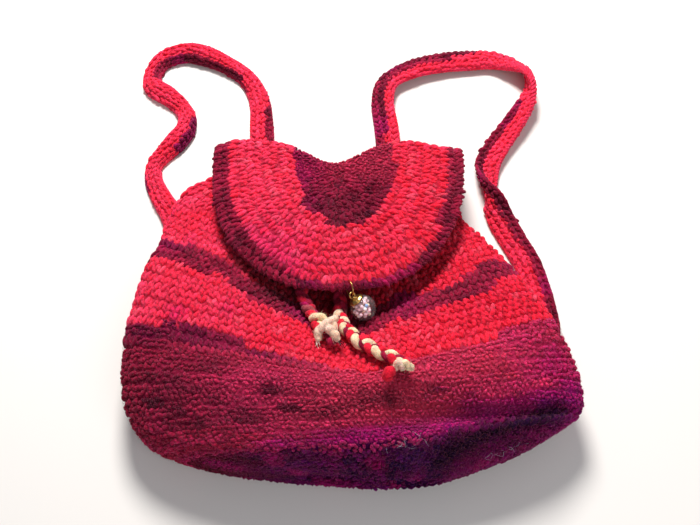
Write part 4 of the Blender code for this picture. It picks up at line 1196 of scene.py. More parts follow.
def flap_rows(name, side, k0, k1, seed=0):
    """Stitches of the flap's top (side 1) or underside (side -1)."""
    yarn = Yarn()
    fine = np.linspace(0, 1, 401)
    rows = range(int(round(k0 * FLAP_ROWS)), int(round(k1 * FLAP_ROWS)))
    for r in rows:
        k = (r + 0.5) / FLAP_ROWS
        x, y = flap_round(np.full(len(fine), k), fine)
        line = flap_point(x, y)
        run = np.concatenate([[0], np.cumsum(np.linalg.norm(np.diff(line, axis=0), axis=1))])
        count = int(round(run[-1] / 6.5))
        t = (np.arange(count) + 0.5 + (0.22 if r % 2 else -0.22)) / count * run[-1]
        t = np.clip(t + (hash01(np.arange(count) + r * 97, 99) - 0.5) * 1.5, 1.5, run[-1] - 1.5)
        u = np.interp(t, run, fine)
        p, way, out, n, size = flap_axes(np.full(count, k), u)
        tint, mid, edge = flap_tint(p, np.full(count, k), u, t, r + seed)
        w = np.full(count, run[-1] / count)
        h = np.clip(size / FLAP_ROWS, 2.8, 8.0)
        p = p + n * side * (WALL / 2) + out * (h * 0.20 * (wander(t / 9.0 + r * 2.7, 133) - 0.5))[:, None]
        nn = n * side
        way = way * side
        if side > 0:
            # a band's last row pokes into the next
            kn = (r + 1.5) / FLAP_ROWS
            _, mid2, edge2 = flap_tint(p, np.full(count, kn), u, t, r + 1)
            poke = np.where((mid != mid2) | (edge != edge2), 1.9, 1.0)
            # worked to and fro, so the rows lean by turns
            fine_part = mid & (hash01(np.arange(count) + r * 31, 135) < 0.35 + 0.55 * smooth(84, 102, p[:, 1]))
            g = ~fine_part
            vee(yarn, p[g], way[g], out[g], nn[g], w[g], h[g] * 0.92, tint[g], rings=5, sides=6,
                seed=300 + seed + r * 2, tall=poke[g], skew=0.20 if r % 2 else -0.10,
                lean=1.0 if r % 2 else -1.0, r0=1.76, loose=1.55)
            g = fine_part
            felt(yarn, p[g], way[g], out[g], nn[g], w[g], h[g], tint[g], 4, 4, 5, 400 + seed + r, 0.15, bars=0.3, r0=1.2)
        else:
            felt(yarn, p, way, out, nn, w, h, tint * 0.9, 2, 3, 4, 500 + seed + r, 0.15, bars=0.5)
    return yarn.make(name, WOOL)


def flap_rope(name, seed=0):
    """The rope edge: slanting strands that wrap over the flap's rim."""
    yarn = Yarn()
    fine = np.linspace(0, 1, 601)
    x, y = flap_round(np.ones(len(fine)), fine)
    line = flap_point(x, y)
    run = np.concatenate([[0], np.cumsum(np.linalg.norm(np.diff(line, axis=0), axis=1))])
    count = int(run[-1] / 3.5)
    t = (np.arange(count) + 0.5) / count * run[-1]
    u = np.interp(t, run, fine)
    p, way, out, n, _ = flap_axes(np.full(count, 0.9985), u)
    tint, _, _ = flap_tint(p, np.full(count, 1.0), u, t, 99)
    k = 6
    f = np.linspace(math.radians(118), math.radians(-118), k)
    idx = np.arange(count)
    j1, j2 = hash01(idx, 71), hash01(idx, 73)
    mid = p - out * 2.6
    spine = (mid[:, None] + n[:, None] * (np.sin(f)[None, :, None] * (1.15 + 0.25 * j1)[:, None, None])
             + out[:, None] * (np.cos(f)[None, :, None] * (1.15 + 0.35 * j2)[:, None, None])
             + way[:, None] * (np.linspace(-2.9, 2.9, k)[None, :, None]))
    r = np.full((count, k), 1.42) * np.interp(np.linspace(0, 1, k), [0, .25, .75, 1], [.75, 1, 1, .75])
    yarn.add(spine, out, r * (0.9 + 0.2 * j2)[:, None], tint * (0.85 + 0.3 * j1)[:, None], 6, 1.0, 0.15)
    return yarn.make(name, WOOL)


def flap_core(name):
    ks = np.linspace(0, 0.972, 30)
    us = np.linspace(0.004, 0.996, 150)
    kk, uu = np.meshgrid(ks, us, indexing="ij")
    x, y = flap_round(kk, uu)
    mid, n = flap_point(x, y), flap_normal(x, y)
    cols = len(us)
    top = (mid + n * 1.35).reshape(-1, 3)
    low = (mid - n * 1.05).reshape(-1, 3)
    verts = np.vstack([top, low])
    m = len(top)
    faces = grid_faces(len(ks), cols, 0, closed=False)
    faces += grid_faces(len(ks), cols, m, closed=False, flip=True)
    edge = (len(ks) - 1) * cols
    for j in range(cols - 1):
        faces.append((edge + j, edge + j + 1, m + edge + j + 1, m + edge + j))
    for end in (0, cols - 1):
        for i in range(len(ks) - 1):
            a, b = i * cols + end, (i + 1) * cols + end
            faces.append((a, b, m + b, m + a) if end else (b, a, m + a, m + b))
    t, _, _ = flap_tint(mid.reshape(-1, 3), kk.ravel(), uu.ravel(), uu.ravel() * 0, 0)
    # painted shade: the fabric seen between the stitches is darkened
    dark = t * 0.62
    ob = add_mesh(name, verts, [np.array(faces)], CORE, np.vstack([dark, dark]))
    bm = bmesh.new()
    bm.from_mesh(ob.data)
    bmesh.ops.remove_doubles(bm, verts=bm.verts, dist=2e-5)
    bmesh.ops.recalc_face_normals(bm, faces=bm.faces)
    bm.to_mesh(ob.data)
    bm.free()
    return ob


# ------------------------------------------------------------------- the straps
class Strap:
    """A strap's middle line, its two directions and its width."""

    def __init__(self, table):
        rows = np.array(table, float)
        t = np.linspace(0, len(rows) - 1, 1201)
        cols = [catmull(rows[:, i], t) for i in range(5)]
        xy = np.stack(cols[:2], 1)
        self.run = np.concatenate([[0], np.cumsum(np.linalg.norm(np.diff(xy, axis=0), axis=1))])
        self.length = self.run[-1]
        self.cols = cols
        centre, rings = strap_rows(table, 400)
        self.even = np.linspace(0, self.length, 400)
        self.centre = centre
        tang = np.gradient(centre, axis=0)
        tang[:, 2] = 0
        tang /= np.linalg.norm(tang, axis=1, keepdims=True)
        self.tang = tang

    def at(self, q):
        c = np.stack([np.interp(q, self.even, self.centre[:, i]) for i in range(3)], 1)
        t = np.stack([np.interp(q, self.even, self.tang[:, i]) for i in range(3)], 1)
        t /= np.linalg.norm(t, axis=1, keepdims=True)
        roll = np.radians(np.interp(q, self.run, self.cols[2]))
        crown = np.maximum(np.interp(q, self.run, self.cols[3]), 0)
        width = np.interp(q, self.run, self.cols[4])
        side = np.stack([t[:, 1], -t[:, 0], 0 * t[:, 0]], 1)
        up = np.tile((0.0, 0.0, 1.0), (len(t), 1))
        c_, s_ = np.cos(roll)[:, None], np.sin(roll)[:, None]
        across = side * c_ - up * s_
        out = side * s_ + up * c_
        return c, t, across, out, crown, width

    def surface(self, q, x, face):
        """Point of the strap at run q and share x (-1 to 1) of its width;
        face 1 is the top, -1 the underside.  Also its axes."""
        c, t, across, out, crown, width = self.at(q)
        w = width / 2
        drop = -crown * x ** 2
        slope = -2 * crown * x / w
        p = c + across * (x * w)[:, None] + out * (drop + face * STRAP_T / 2)[:, None]
        n = out - across * slope[:, None]
        n /= np.linalg.norm(n, axis=1, keepdims=True)
        return p, t, np.cross(n, t), n * face, width


def strap_stitches(name, strap, tint_of, seed):
    """Three columns of stitches along each face, and corded edges."""
    yarn = Yarn()
    count = int(strap.length / 5.6)
    pitch = strap.length / count
    for row, (x, face) in enumerate(((-0.55, 1), (0.0, 1), (0.55, 1), (0.55, -1), (0.0, -1), (-0.55, -1))):
        q = (np.arange(count) + 0.5 + (0.25 if row % 2 else -0.2)) * pitch
        q = np.clip(q + (hash01(np.arange(count) + row * 67 + seed, 141) - 0.5) * 1.0, 1.0, strap.length - 1.0)
        p, t, _, n, width = strap.surface(q, np.full(count, x), face)
        across = np.cross(t, n)
        tint = tint_of(p, q, np.full(count, x), row)
        if face > 0:
            vee(yarn, p, across, t, n, width / 3.1, np.full(count, pitch), tint, rings=5, sides=6,
                seed=seed + row, skew=0.0, r0=1.62, lift=0.15)
        else:
            vee(yarn, p, across, t, n, width / 3.1, np.full(count, pitch), tint, rings=4, sides=4,
                seed=seed + row, skew=0.0, r0=1.7, lift=0.15)
    # the two edges: slanting strands, laid close like a cord
    for side in (-1.0, 1.0):
        wraps = int(strap.length / 3.3)
        q = (np.arange(wraps) + 0.5) / wraps * strap.length
        c, t, across, out, crown, width = strap.at(q)
        w = width / 2
        mid = c + across * (side * (w - 2.0))[:, None] - out * (crown * 0.9)[:, None]
        k = 6
        f = np.linspace(math.radians(95), math.radians(-95), k)
        idx = np.arange(wraps) + seed * 7
        j1, j2 = hash01(idx, 81 + side), hash01(idx, 83 + side)
        spine = (mid[:, None] + out[:, None] * (np.sin(f)[None, :, None] * 1.15)
                 + across[:, None] * (np.cos(f)[None, :, None] * (side * (0.55 + 0.25 * j1))[:, None, None])
                 + t[:, None] * (np.linspace(-4.2, 4.2, k)[None, :, None]))
        r = np.full((wraps, k), 1.48) * np.interp(np.linspace(0, 1, k), [0, .25, .75, 1], [.8, 1.05, 1.05, .8])
        tint = tint_of(c + across * (side * w)[:, None], q, np.full(wraps, side), 6)
        yarn.add(spine, across * side, r * (0.94 + 0.12 * j2)[:, None], tint * (0.92 + 0.16 * j1)[:, None], 5, 1.0, 0.15)
    return yarn.make(name, WOOL)


def strap_core(name, strap, tint_of):
    count, cols = 220, 12
    q = np.linspace(0.5, strap.length - 0.5, count)
    x = np.linspace(-0.80, 0.80, cols // 2)
    c, t, across, out, crown, width = strap.at(q)
    verts = np.zeros((count, cols, 3))
    for j in range(cols // 2):
        for face, col in ((1, j), (-1, cols - 1 - j)):
            h = -crown * x[j] ** 2 + face * 1.2
            verts[:, col] = c + across * (x[j] * width / 2)[:, None] + out * h[:, None]
    verts[..., 2] = np.maximum(verts[..., 2], 0.4)
    faces = grid_faces(count, cols, flip=True)
    faces = np.array(faces)
    n = cols
    tint = np.zeros((count, cols, 3))
    for j in range(cols // 2):
        # painted shade: the fabric seen between the stitches is darkened
        s = tint_of(verts[:, j], q, np.full(count, x[j]), 0) * 0.70
        tint[:, j] = s
        tint[:, cols - 1 - j] = s
    flat = verts.reshape(-1, 3)
    m0, m1 = flat[:n].mean(0), flat[-n:].mean(0)
    flat = np.vstack([flat, m0, m1])
    tris = []
    for j in range(n):
        k = (j + 1) % n
        tris.append((j, k, len(flat) - 2))
        tris.append(((count - 1) * n + k, (count - 1) * n + j, len(flat) - 1))
    tint = np.vstack([tint.reshape(-1, 3), tint[0, 0], tint[-1, 0]])
    return add_mesh(name, flat, [faces, np.array(tris)], CORE, tint)


def strap_red(p, q, row):
    c = mix(YARN["red"], YARN["coral"], 0.35 + 0.8 * wander3(p, 30, 212))
    return mix(c, YARN["rose"], 0.25 + 0.6 * (wander(q / 11.0 + row * 5.1, 215) - 0.35))


def strap_dark(p, q, row):
    c = mix(YARN["burgundy"], YARN["wine"], 0.2 + 0.9 * wander(q / 13.0 + row * 3.3, 221))
    c = mix(c, YARN["ink"], np.clip((wander(q / 17.0 + row * 6.3, 225) - 0.55) * 1.8, 0, 0.6))
    return mix(c, YARN["magenta"], np.clip((wander3(p, 20, 231) - 0.62) * 2.0, 0, 0.45))


def left_strap_tint(p, q, x, row):
    """Red, with dark yarn along one edge that changes sides with the twist; on the inner side of the top arc and at two
    patches lower down the dark yarn is partly painted shade on the strap's shaded side.
    """
    f = q / 577.0
    east = np.interp(f, [0, .14, .19, 1], [0.36, 0.50, 1.3, 1.3])
    # the inner side of the top arc: dark yarn, partly the dark edge and partly painted shade on the strap's shaded side
    inner = np.interp(f, [0, .17, .22, .41, .44, 1], [-1.3, -1.3, -0.40, -0.30, -1.3, -1.3])
    # two small patches lower down, where the strap turns over on itself: dark edge yarn and painted shade
    turned = ((f > .522) & (f < .585) & (x < -0.45)) | ((f > .640) & (f < .672) & (x > 0.70))
    dark = (x > east) | (x < inner) | turned
    c = strap_dark(p, q, row)
    c = mix(c, YARN["plum"], 0.45 * turned)
    return np.where(dark[:, None], c, strap_red(p, q, row))


def right_strap_tint(p, q, x, row):
    dark = x < np.interp(q / 607.0, [0, .09, .13, .28, .33, .36, .45, .49, 1], [-.15, 0, .22, .15, -.3, -1.3, -1.3, -.2, -.2])
    return np.where(dark[:, None], strap_dark(p, q, row), strap_red(p, q, row))


# ------------------------------------------------------------------------ fuzz
def fuzz(name, places, normals, tints, seed, length=(2.2, 5.5), high=1.1, width=0.085, rise=0.0):
    """Loose fibres standing off the yarn: thin ribbons, one mesh."""
    rng = np.random.default_rng(seed)
    m = len(places)
    v = rng.normal(size=(m, 3))
    v -= normals * (v * normals).sum(1, keepdims=True)
    v /= np.linalg.norm(v, axis=1, keepdims=True)
    side = np.cross(normals, v)
    long = rng.uniform(length[0], length[1], m)[:, None]
    tall = rng.uniform(0.35, 1.0, m)[:, None] * high
    bendy = rng.normal(size=(m, 1)) * 0.30
    p0 = places + normals * (rise - 0.25)
    p1 = places + normals * (rise + tall) + v * long * 0.45 + side * bendy * long * 0.5
    p2 = places + normals * (rise + tall * rng.uniform(0.1, 1.3, m)[:, None]) + v * long + side * bendy * long * 1.2
    w = width * rng.uniform(0.7, 1.3, m)[:, None] / 2
    lean = side * 0.8 + normals * rng.uniform(-0.6, 0.6, m)[:, None]
    lean /= np.linalg.norm(lean, axis=1, keepdims=True)
    verts = np.stack([p0 - lean * w, p0 + lean * w, p1 - lean * w, p1 + lean * w, p2 - lean * w * 0.5, p2 + lean * w * 0.5], 1)
    verts[..., 2] = np.maximum(verts[..., 2], 0.2)
    base = np.arange(m)[:, None] * 6
    faces = np.concatenate([base + np.array([[0, 1, 3, 2]]), base + np.array([[2, 3, 5, 4]])])
    uv = np.tile(np.array([[0, 0.5], [0, 0.5], [0.3, 0.5], [0.3, 0.5], [0.6, 0.5], [0.6, 0.5]]), (m, 1))
    return add_mesh(name, verts.reshape(-1, 3), [faces], WOOL, np.repeat(tints, 6, axis=0), uv)


def body_fuzz(name, count, seed):
    rng = np.random.default_rng(seed)
    s = rng.uniform(0.1, 13.5, count * 3)
    a = rng.uniform(-0.25, math.pi + 0.25, count * 3)
    # keep the fibres evenly spread over the surface
    p, way, up, n, size = body_axes(s, a)
    da = np.linalg.norm(body_point(s, a + 0.01) - body_point(s, a - 0.01), axis=1) / 0.02
    area = size * da
    more = 1.0 + 1.9 * (s < 7)
    keep = rng.uniform(0, 1, len(s)) < area * more / (area * more).max()
    s, a, p, n = s[keep][:count], a[keep][:count], p[keep][:count], n[keep][:count]
    tint, _ = body_tint(p, s, a, rng.uniform(0, 400, len(s)), rng.integers(0, 40, len(s)))
    # fibres paler than their yarn, mixed with pink: painted sheen, with a tone that differs at random
    tint = mix(tint, YARN["pink"], 0.18) * rng.uniform(0.8, 1.5, len(s))[:, None]
    return fuzz(name, p, n, tint, seed + 1)


def flap_fuzz(name, count, seed):
    rng = np.random.default_rng(seed)
    k = np.sqrt(rng.uniform(0, 1, count)) * 0.995
    u = rng.uniform(0.03, 0.97, count)
    p, way, out, n, size = flap_axes(k, u)
    tint, _, _ = flap_tint(p, k, u, rng.uniform(0, 400, count), rng.integers(0, 16, count))
    # fibres paler than their yarn, mixed with pink: painted sheen, with a tone that differs at random
    tint = mix(tint, YARN["pink"], 0.18) * rng.uniform(0.8, 1.5, count)[:, None]
    return fuzz(name, p + n * (WALL / 2), n, tint, seed + 1)


def strap_fuzz(name, strap, tint_of, count, seed):
    rng = np.random.default_rng(seed)
    q = rng.uniform(1, strap.length - 1, count)
    x = rng.uniform(-0.97, 0.97, count)
    p, t, across, n, width = strap.surface(q, x, 1)
    # fibres paler than their yarn, mixed with pink: painted sheen, with a tone that differs at random
    tint = mix(tint_of(p, q, x, 1), YARN["pink"], 0.15) * rng.uniform(0.8, 1.4, count)[:, None]
    return fuzz(name, p, n, tint, seed + 1)


def lint(name, spots, seed):
    """Pale stray hairs: each spot is (round, angle in degrees, how many)."""
    rng = np.random.default_rng(seed)
    s, a = [], []
    for round_, deg, many in spots:
        s += list(round_ + rng.normal(size=many) * 0.10)
        a += list(np.radians(deg + rng.normal(size=many) * 2.2))
    s, a = np.array(s), np.array(a)
    p, way, up, n, size = body_axes(s, a)
    tint = np.tile(srgb("#E8D6EC"), (len(s), 1)) * rng.uniform(0.6, 1.0, len(s))[:, None]
    return fuzz(name, p, n, tint, seed + 1, (2.5, 6.0), 1.5, 0.13, 0.5)

# ------------------------------------------------------------------ the pieces
core = body_core("bag_core")
base = base_rows("bag_base_stitches")
_low = row_edges(2.0, 7.0, 12)
_high = row_edges(7.0, 13.0, 23)
_neck = row_edges(13.0, 15.0, 6)
lower = body_rows("bag_lower_stitches", _low, 0, 12, 1)
red_low = body_rows("bag_middle_stitches", _high, 0, 11, 2)
red_top = body_rows("bag_upper_stitches", _high, 11, 23, 3)
neck = body_rows("bag_neck_stitches", _neck, 0, 6, 4)
bag_fuzz = body_fuzz("bag_fibres", 18000, 31)
bag_lint = lint("bag_stray_hairs", ((1.9, 82, 9), (1.5, 84, 7), (1.1, 27, 9), (0.9, 33, 6)), 41)
bag_stitches = [base, lower, red_low, red_top, neck, bag_fuzz, bag_lint]
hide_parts("bag_body")

fcore = flap_core("flap_core")
flap_top_a = flap_rows("flap_top_stitches", 1, 0.0, 1.0, 1)
flap_under = flap_rows("flap_under_stitches", -1, 0.0, 1.0, 2)
rope = flap_rope("flap_rope_edge")
flap_fibres = flap_fuzz("flap_fibres", 6500, 51)
flap_stitches = [flap_top_a, flap_under, rope, flap_fibres]
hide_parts("flap")

strap_l, strap_r = Strap(STRAP_LEFT), Strap(STRAP_RIGHT)
lcore = strap_core("strap_left_core", strap_l, left_strap_tint)
lstitch = strap_stitches("strap_left_stitches", strap_l, left_strap_tint, 700)
rcore = strap_core("strap_right_core", strap_r, right_strap_tint)
rstitch = strap_stitches("strap_right_stitches", strap_r, right_strap_tint, 800)
lfuzz = strap_fuzz("strap_left_fibres", strap_l, left_strap_tint, 1500, 61)
rfuzz = strap_fuzz("strap_right_fibres", strap_r, right_strap_tint, 1600, 71)
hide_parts("strap_left")
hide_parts("strap_right")

for ob in (core, *bag_stitches, fcore, *flap_stitches, lcore, lstitch, lfuzz, rcore, rstitch, rfuzz):
    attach(ob, "bag")

# --------------------------------------------------------------- the drawstring
skin = outer_skin()
route = cord_route(skin)
_run = np.concatenate([[0], np.cumsum(np.linalg.norm(np.diff(route, axis=0), axis=1))])
CORD_LENGTH = float(_run[-1])


def along(points, run, q):
    return np.stack([np.interp(q, run, points[:, i]) for i in range(3)], -1)


def carried_frame(line):
    """Directions across and out of the fabric all along a line."""
    way = np.gradient(line, axis=0)
    way /= np.linalg.norm(way, axis=1, keepdims=True)
    out = np.zeros_like(line)
    for i, p in enumerate(line):
        near, nrm, _, _ = skin.find_nearest(Vector(p) * MM)
        v = np.array(Vector(p) * MM - near)
        if v.dot(np.array(nrm)) < 0:
            v = -v
        out[i] = unit(v + np.array(nrm) * 1e-5)
    for _ in range(12):
        out[1:-1] = 0.5 * out[1:-1] + 0.25 * (out[:-2] + out[2:])
    out -= way * (out * way).sum(1, keepdims=True)
    out /= np.linalg.norm(out, axis=1, keepdims=True)
    return way, np.cross(way, out), out


def tubes(name, strands, mat, sides=10):
    """One mesh of round strands: each is (points, radii, tints)."""
    verts, quads, tris, tint, uv, n = [], [], [], [], [], 0
    for points, radii, tints in strands:
        points = np.asarray(points, float)
        m = len(points)
        way = np.gradient(points, axis=0)
        way /= np.maximum(np.linalg.norm(way, axis=1, keepdims=True), 1e-9)
        up = np.zeros_like(points)
        v = np.array((0.2, 0.3, 0.93))
        for i in range(m):
            v = unit(v - way[i] * np.dot(v, way[i]))
            up[i] = v
        side = np.cross(way, up)
        f = np.arange(sides) / sides * 2 * math.pi
        ring = (points[:, None] + (side[:, None] * np.cos(f)[None, :, None] + up[:, None] * np.sin(f)[None, :, None])
                * np.asarray(radii)[:, None, None])
        tip0 = points[0] - way[0] * radii[0] * 0.6
        tip1 = points[-1] + way[-1] * radii[-1] * 0.6
        verts.append(np.vstack([ring.reshape(-1, 3), tip0, tip1]))
        i, j = np.meshgrid(np.arange(m - 1), np.arange(sides), indexing="ij")
        a, b = (i * sides + j).ravel(), (i * sides + (j + 1) % sides).ravel()
        quads.append(np.stack([a, b, b + sides, a + sides], 1) + n)
        j = np.arange(sides)
        k = (j + 1) % sides
        e = (m - 1) * sides
        tris.append(np.vstack([np.stack([k, j, np.full(sides, m * sides)], 1),
                               np.stack([e + j, e + k, np.full(sides, m * sides + 1)], 1)]) + n)
        tint.append(np.vstack([np.repeat(np.asarray(tints), sides, axis=0), tints[0], tints[-1]]))
        run = np.concatenate([[0], np.cumsum(np.linalg.norm(np.diff(points, axis=0), axis=1))]) / 9.0
        g = np.stack(np.broadcast_arrays(run[:, None], np.abs(2 * f[None] / (2 * math.pi) - 1)), 2).reshape(-1, 2)
        uv.append(np.vstack([g, [run[0], 0.5], [run[-1], 0.5]]))
        n += m * sides + 2
    return add_mesh(name, np.vstack(verts), [np.vstack(quads), np.vstack(tris)], mat, np.vstack(tint), np.vstack(uv))


BRAID_PITCH = 19.0
# between these the braid is painted in shade: darker and wine red round the neck and under the flap
LEFT_PALE, RIGHT_PALE = 46.5, CORD_LENGTH - 88.0        # the tails show cream outside these
BRAID_LEFT_END = 14.0           # the last of the left tail is frayed out
_q = np.arange(BRAID_LEFT_END, CORD_LENGTH - 4.0, 1.2)
_line = along(route, _run, _q)
_way, _side, _out = carried_frame(_line)
strands = []
for _k, (_name, _fat) in enumerate((("cream", 2.95), ("scarlet", 2.75), ("wine", 1.9))):
    th = 2 * math.pi * (_q / BRAID_PITCH + _k / 3.0)
    swell = 1 + 0.08 * np.sin(_q / 7.3 + _k) + 0.05 * np.sin(_q / 3.1 + 2 * _k)
    pts = (_line + _side * (2.45 * np.sin(th))[:, None] + _out * (1.25 * np.sin(2 * th))[:, None])
    c = np.tile(YARN[_name], (len(_q), 1))
    flap_shaded_run = smooth(LEFT_PALE - 3, LEFT_PALE + 3, _q) * (1 - smooth(RIGHT_PALE - 3, RIGHT_PALE + 3, _q))
    if _name == "cream":
        c = mix(c, YARN["blush"], 0.8 * wander(_q / 16.0, 301))
        c = mix(c, YARN["wine"], 1 - smooth(19, 24, _q))
        # painted shade round the neck and under the flap: this strand goes wine red, with a little darkened blush left
        c = mix(c, mix(YARN["wine"], YARN["blush"] * 0.4, 0.25 * (wander(_q / 6.0, 302) > 0.75)), flap_shaded_run)
    if _name == "wine":
        c = mix(c, YARN["burgundy"], wander(_q / 14.0, 303))
        c = mix(c, YARN["magenta"], 0.4 * (wander(_q / 19.0, 305) > 0.6))
    if _name == "scarlet":
        c = mix(c, YARN["coral"], 0.6 * wander(_q / 15.0, 307))
        # painted shade round the neck and under the flap
        c = mix(c, YARN["wine"], 0.45 * flap_shaded_run)
    # painted shade: each strand is darker where it dips beneath the other two
    c = c * (0.84 + 0.16 * np.clip(np.sin(2 * th) + 0.6, 0, 1))[:, None]
    strands.append((pts, _fat * swell, c))
braid = tubes("drawstring_braid", strands, WOOL, 12)


def cord_fuzz(name, parts, each, seed):
    """Loose fibres on round strands: each part is (points, radii, tints)."""
    rng = np.random.default_rng(seed)
    places, normals, tints = [], [], []
    for points, radii, colours in parts:
        points = np.asarray(points, float)
        long = np.linalg.norm(np.diff(points, axis=0), axis=1).sum()
        m = max(6, int(long * each))
        i = rng.integers(1, len(points) - 1, m)
        way = points[i + 1] - points[i - 1]
        way /= np.maximum(np.linalg.norm(way, axis=1, keepdims=True), 1e-9)
        v = rng.normal(size=(m, 3))
        v[:, 2] = np.abs(v[:, 2])
        v -= way * (v * way).sum(1, keepdims=True)
        v /= np.linalg.norm(v, axis=1, keepdims=True)
        places.append(points[i] + v * np.asarray(radii)[i][:, None])
        normals.append(v)
        tints.append(np.asarray(colours)[i] * rng.uniform(0.75, 1.15, m)[:, None])
    return fuzz(name, np.vstack(places), np.vstack(normals), np.vstack(tints), seed + 1, (1.4, 3.4), 0.75, 0.10, 0.15)


# only the tails outside the neck are seen closely
_tails = []
for _sel in (_q < 66, _q > CORD_LENGTH - 112):
    _tails += [(s[0][_sel], s[1][_sel], s[2][_sel]) for s in strands]
braid_fibres = cord_fuzz("drawstring_fibres", _tails, 2.2, 81)
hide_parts("drawstring")


def bend(points, count):
    p = np.array(points, float)
    t = np.linspace(0, len(p) - 1, count)
    return np.stack([catmull(p[:, i], t) for i in range(3)], 1)


def lump(points, radius, colour, count=14, seed=0, fade=None):
    """A strand of the knot: fat in the middle, round at its ends."""
    p = bend(points, count)
    t = np.linspace(0, 1, count)
    r = radius * (0.55 + 0.45 * np.sin(math.pi * np.clip(0.08 + 0.84 * t, 0, 1)) ** 0.6)
    r = r * (1 + 0.07 * np.sin(t * 17 + seed))
    c = np.tile(YARN[colour], (count, 1))
    if fade:
        c = mix(c, YARN[fade], 0.5 * wander(t * 3.0 + seed, 311))
    return p, r, c


def fray(points, colour, seed, threads=5, spread=1.6, radius=0.5):
    """Loose threads at a cut end."""
    out = []
    base = bend(points, 12)
    for i in range(threads):
        a = 2 * math.pi * i / threads + seed
        t = np.linspace(0, 1, 12)[:, None]
        off = np.array((math.cos(a), math.sin(a), 0.5 * math.sin(a * 2.0)))
        wig = np.array((math.sin(a * 3), math.cos(a * 2), 0.3)) * np.sin(t * (5 + i)) * 0.5
        p = base + (off * spread * t ** 1.2 + wig * t) + off * 0.5
        out.append((p, radius * (1 - 0.75 * t[:, 0]), np.tile(YARN[colour] * (0.8 + 0.1 * (i % 3)), (12, 1))))
    return out


# knot of the left tail: pale loops over red, with two short legs
left_knot = [
    lump([(-9.5, -31.8, 57.0), (-13.0, -35.6, 61.2), (-17.4, -39.8, 62.4), (-21.4, -43.6, 60.6), (-21.2, -48.8, 58.4)],
         3.1, "blush", 22, 1, "cream"),
    lump([(-18.0, -38.2, 60.4), (-14.0, -42.2, 62.6), (-10.4, -46.0, 62.0), (-8.4, -49.4, 59.6)], 3.3, "blush", 18, 2, "cream"),
    lump([(-12.0, -36.0, 60.0), (-10.2, -40.0, 61.2), (-11.0, -44.6, 61.0)], 2.3, "blush", 12, 3, "cream"),
    lump([(-27.4, -30.2, 52.0), (-23.4, -29.4, 54.6), (-18.6, -31.0, 55.6), (-16.2, -34.0, 54.6)], 3.0, "cream", 16, 4, "blush"),
    lump([(-25.0, -34.2, 53.4), (-22.6, -37.6, 56.2), (-20.6, -41.0, 57.2)], 3.0, "scarlet", 14, 5, "coral"),
]
left_knot += fray([(-8.8, -49.0, 59.6), (-6.0, -51.6, 60.4), (-4.8, -54.4, 61.0)], "ink", 0.4, 6, 1.5)
left_knot += fray([(-12.4, -47.6, 60.2), (-11.0, -50.6, 60.6), (-10.4, -53.0, 61.0)], "burgundy", 1.7, 4, 1.2)
left_knot += fray([(-21.2, -48.2, 58.6), (-21.6, -50.8, 58.6), (-21.4, -53.0, 58.8)], "blush", 0.9, 5, 1.2)
knot_l = tubes("drawstring_knot_left", left_knot, WOOL, 12)

right_knot = [
    lump([(28.6, -75.0, 71.0), (29.8, -72.0, 74.4), (32.0, -72.4, 75.2), (33.4, -75.4, 73.4)], 2.4, "blush", 16, 6, "cream"),
    lump([(33.2, -74.8, 72.0), (34.4, -72.0, 75.0), (36.4, -72.8, 75.2), (37.6, -75.6, 72.8)], 2.3, "cream", 16, 7, "blush"),
    lump([(37.0, -73.6, 72.8), (38.8, -73.2, 74.0), (39.8, -75.6, 72.2)], 1.8, "cream", 12, 9, "blush"),
    lump([(27.2, -76.2, 73.0), (25.2, -77.4, 74.0), (23.8, -79.6, 73.4), (25.0, -81.0, 71.4)], 3.9, "scarlet", 18, 8, "coral"),
]
knot_r = tubes("drawstring_knot_right", right_knot, WOOL, 12)
knot_fibres = cord_fuzz("drawstring_knot_fibres", left_knot[:5] + right_knot[:4], 5.0, 91)
for ob in (braid, knot_l, knot_r, braid_fibres, knot_fibres):
    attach(ob, "bag")


# --------------------------------------------------------------------- the charm
def plain_material(name, colour, rough, metal=0.0, spec=0.5, grain=0.0, grain_scale=900.0, coat=0.0):
    m = bpy.data.materials.new(name)
    m.use_nodes = True
    nt = m.node_tree
    b = nt.nodes["Principled BSDF"]
    b.inputs["Metallic"].default_value = metal
    b.inputs["Roughness"].default_value = rough
    b.inputs["Specular IOR Level"].default_value = spec
    b.inputs["Coat Weight"].default_value = coat
    b.inputs["Coat Roughness"].default_value = 0.08
    coord = nt.nodes.new("ShaderNodeTexCoord")
    noise = nt.nodes.new("ShaderNodeTexNoise")
    noise.inputs["Scale"].default_value = grain_scale
    noise.inputs["Detail"].default_value = 3.0
    nt.links.new(coord.outputs["Object"], noise.inputs["Vector"])
    ramp = nt.nodes.new("ShaderNodeValToRGB")
    ramp.color_ramp.elements[0].position = 0.3
    ramp.color_ramp.elements[1].position = 0.7
    lo = np.array(colour) * 0.80
    ramp.color_ramp.elements[0].color = (*lo, 1)
    ramp.color_ramp.elements[1].color = (*np.clip(np.array(colour) * 1.12, 0, 1), 1)
    nt.links.new(noise.outputs["Fac"], ramp.inputs["Fac"])
    nt.links.new(ramp.outputs["Color"], b.inputs["Base Color"])
    if grain:
        bump = nt.nodes.new("ShaderNodeBump")
        bump.inputs["Strength"].default_value = grain
        bump.inputs["Distance"].default_value = 0.0002
        nt.links.new(noise.outputs["Fac"], bump.inputs["Height"])
        nt.links.new(bump.outputs[0], b.inputs["Normal"])
    return m


GOLD = plain_material("gold", srgb("#BE9A5C"), 0.30, 1.0, 0.5, 0.10, 700)


def pearl_material():
    m = bpy.data.materials.new("pearl")
    m.use_nodes = True
    nt = m.node_tree
    b = nt.nodes["Principled BSDF"]
    b.inputs["Roughness"].default_value = 0.22
    b.inputs["Coat Weight"].default_value = 0.6
    b.inputs["Coat Roughness"].default_value = 0.06
    b.inputs["Sheen Weight"].default_value = 0.15
    tint = nt.nodes.new("ShaderNodeAttribute")
    tint.attribute_name = "tint"
    nt.links.new(tint.outputs["Color"], b.inputs["Base Color"])
    return m


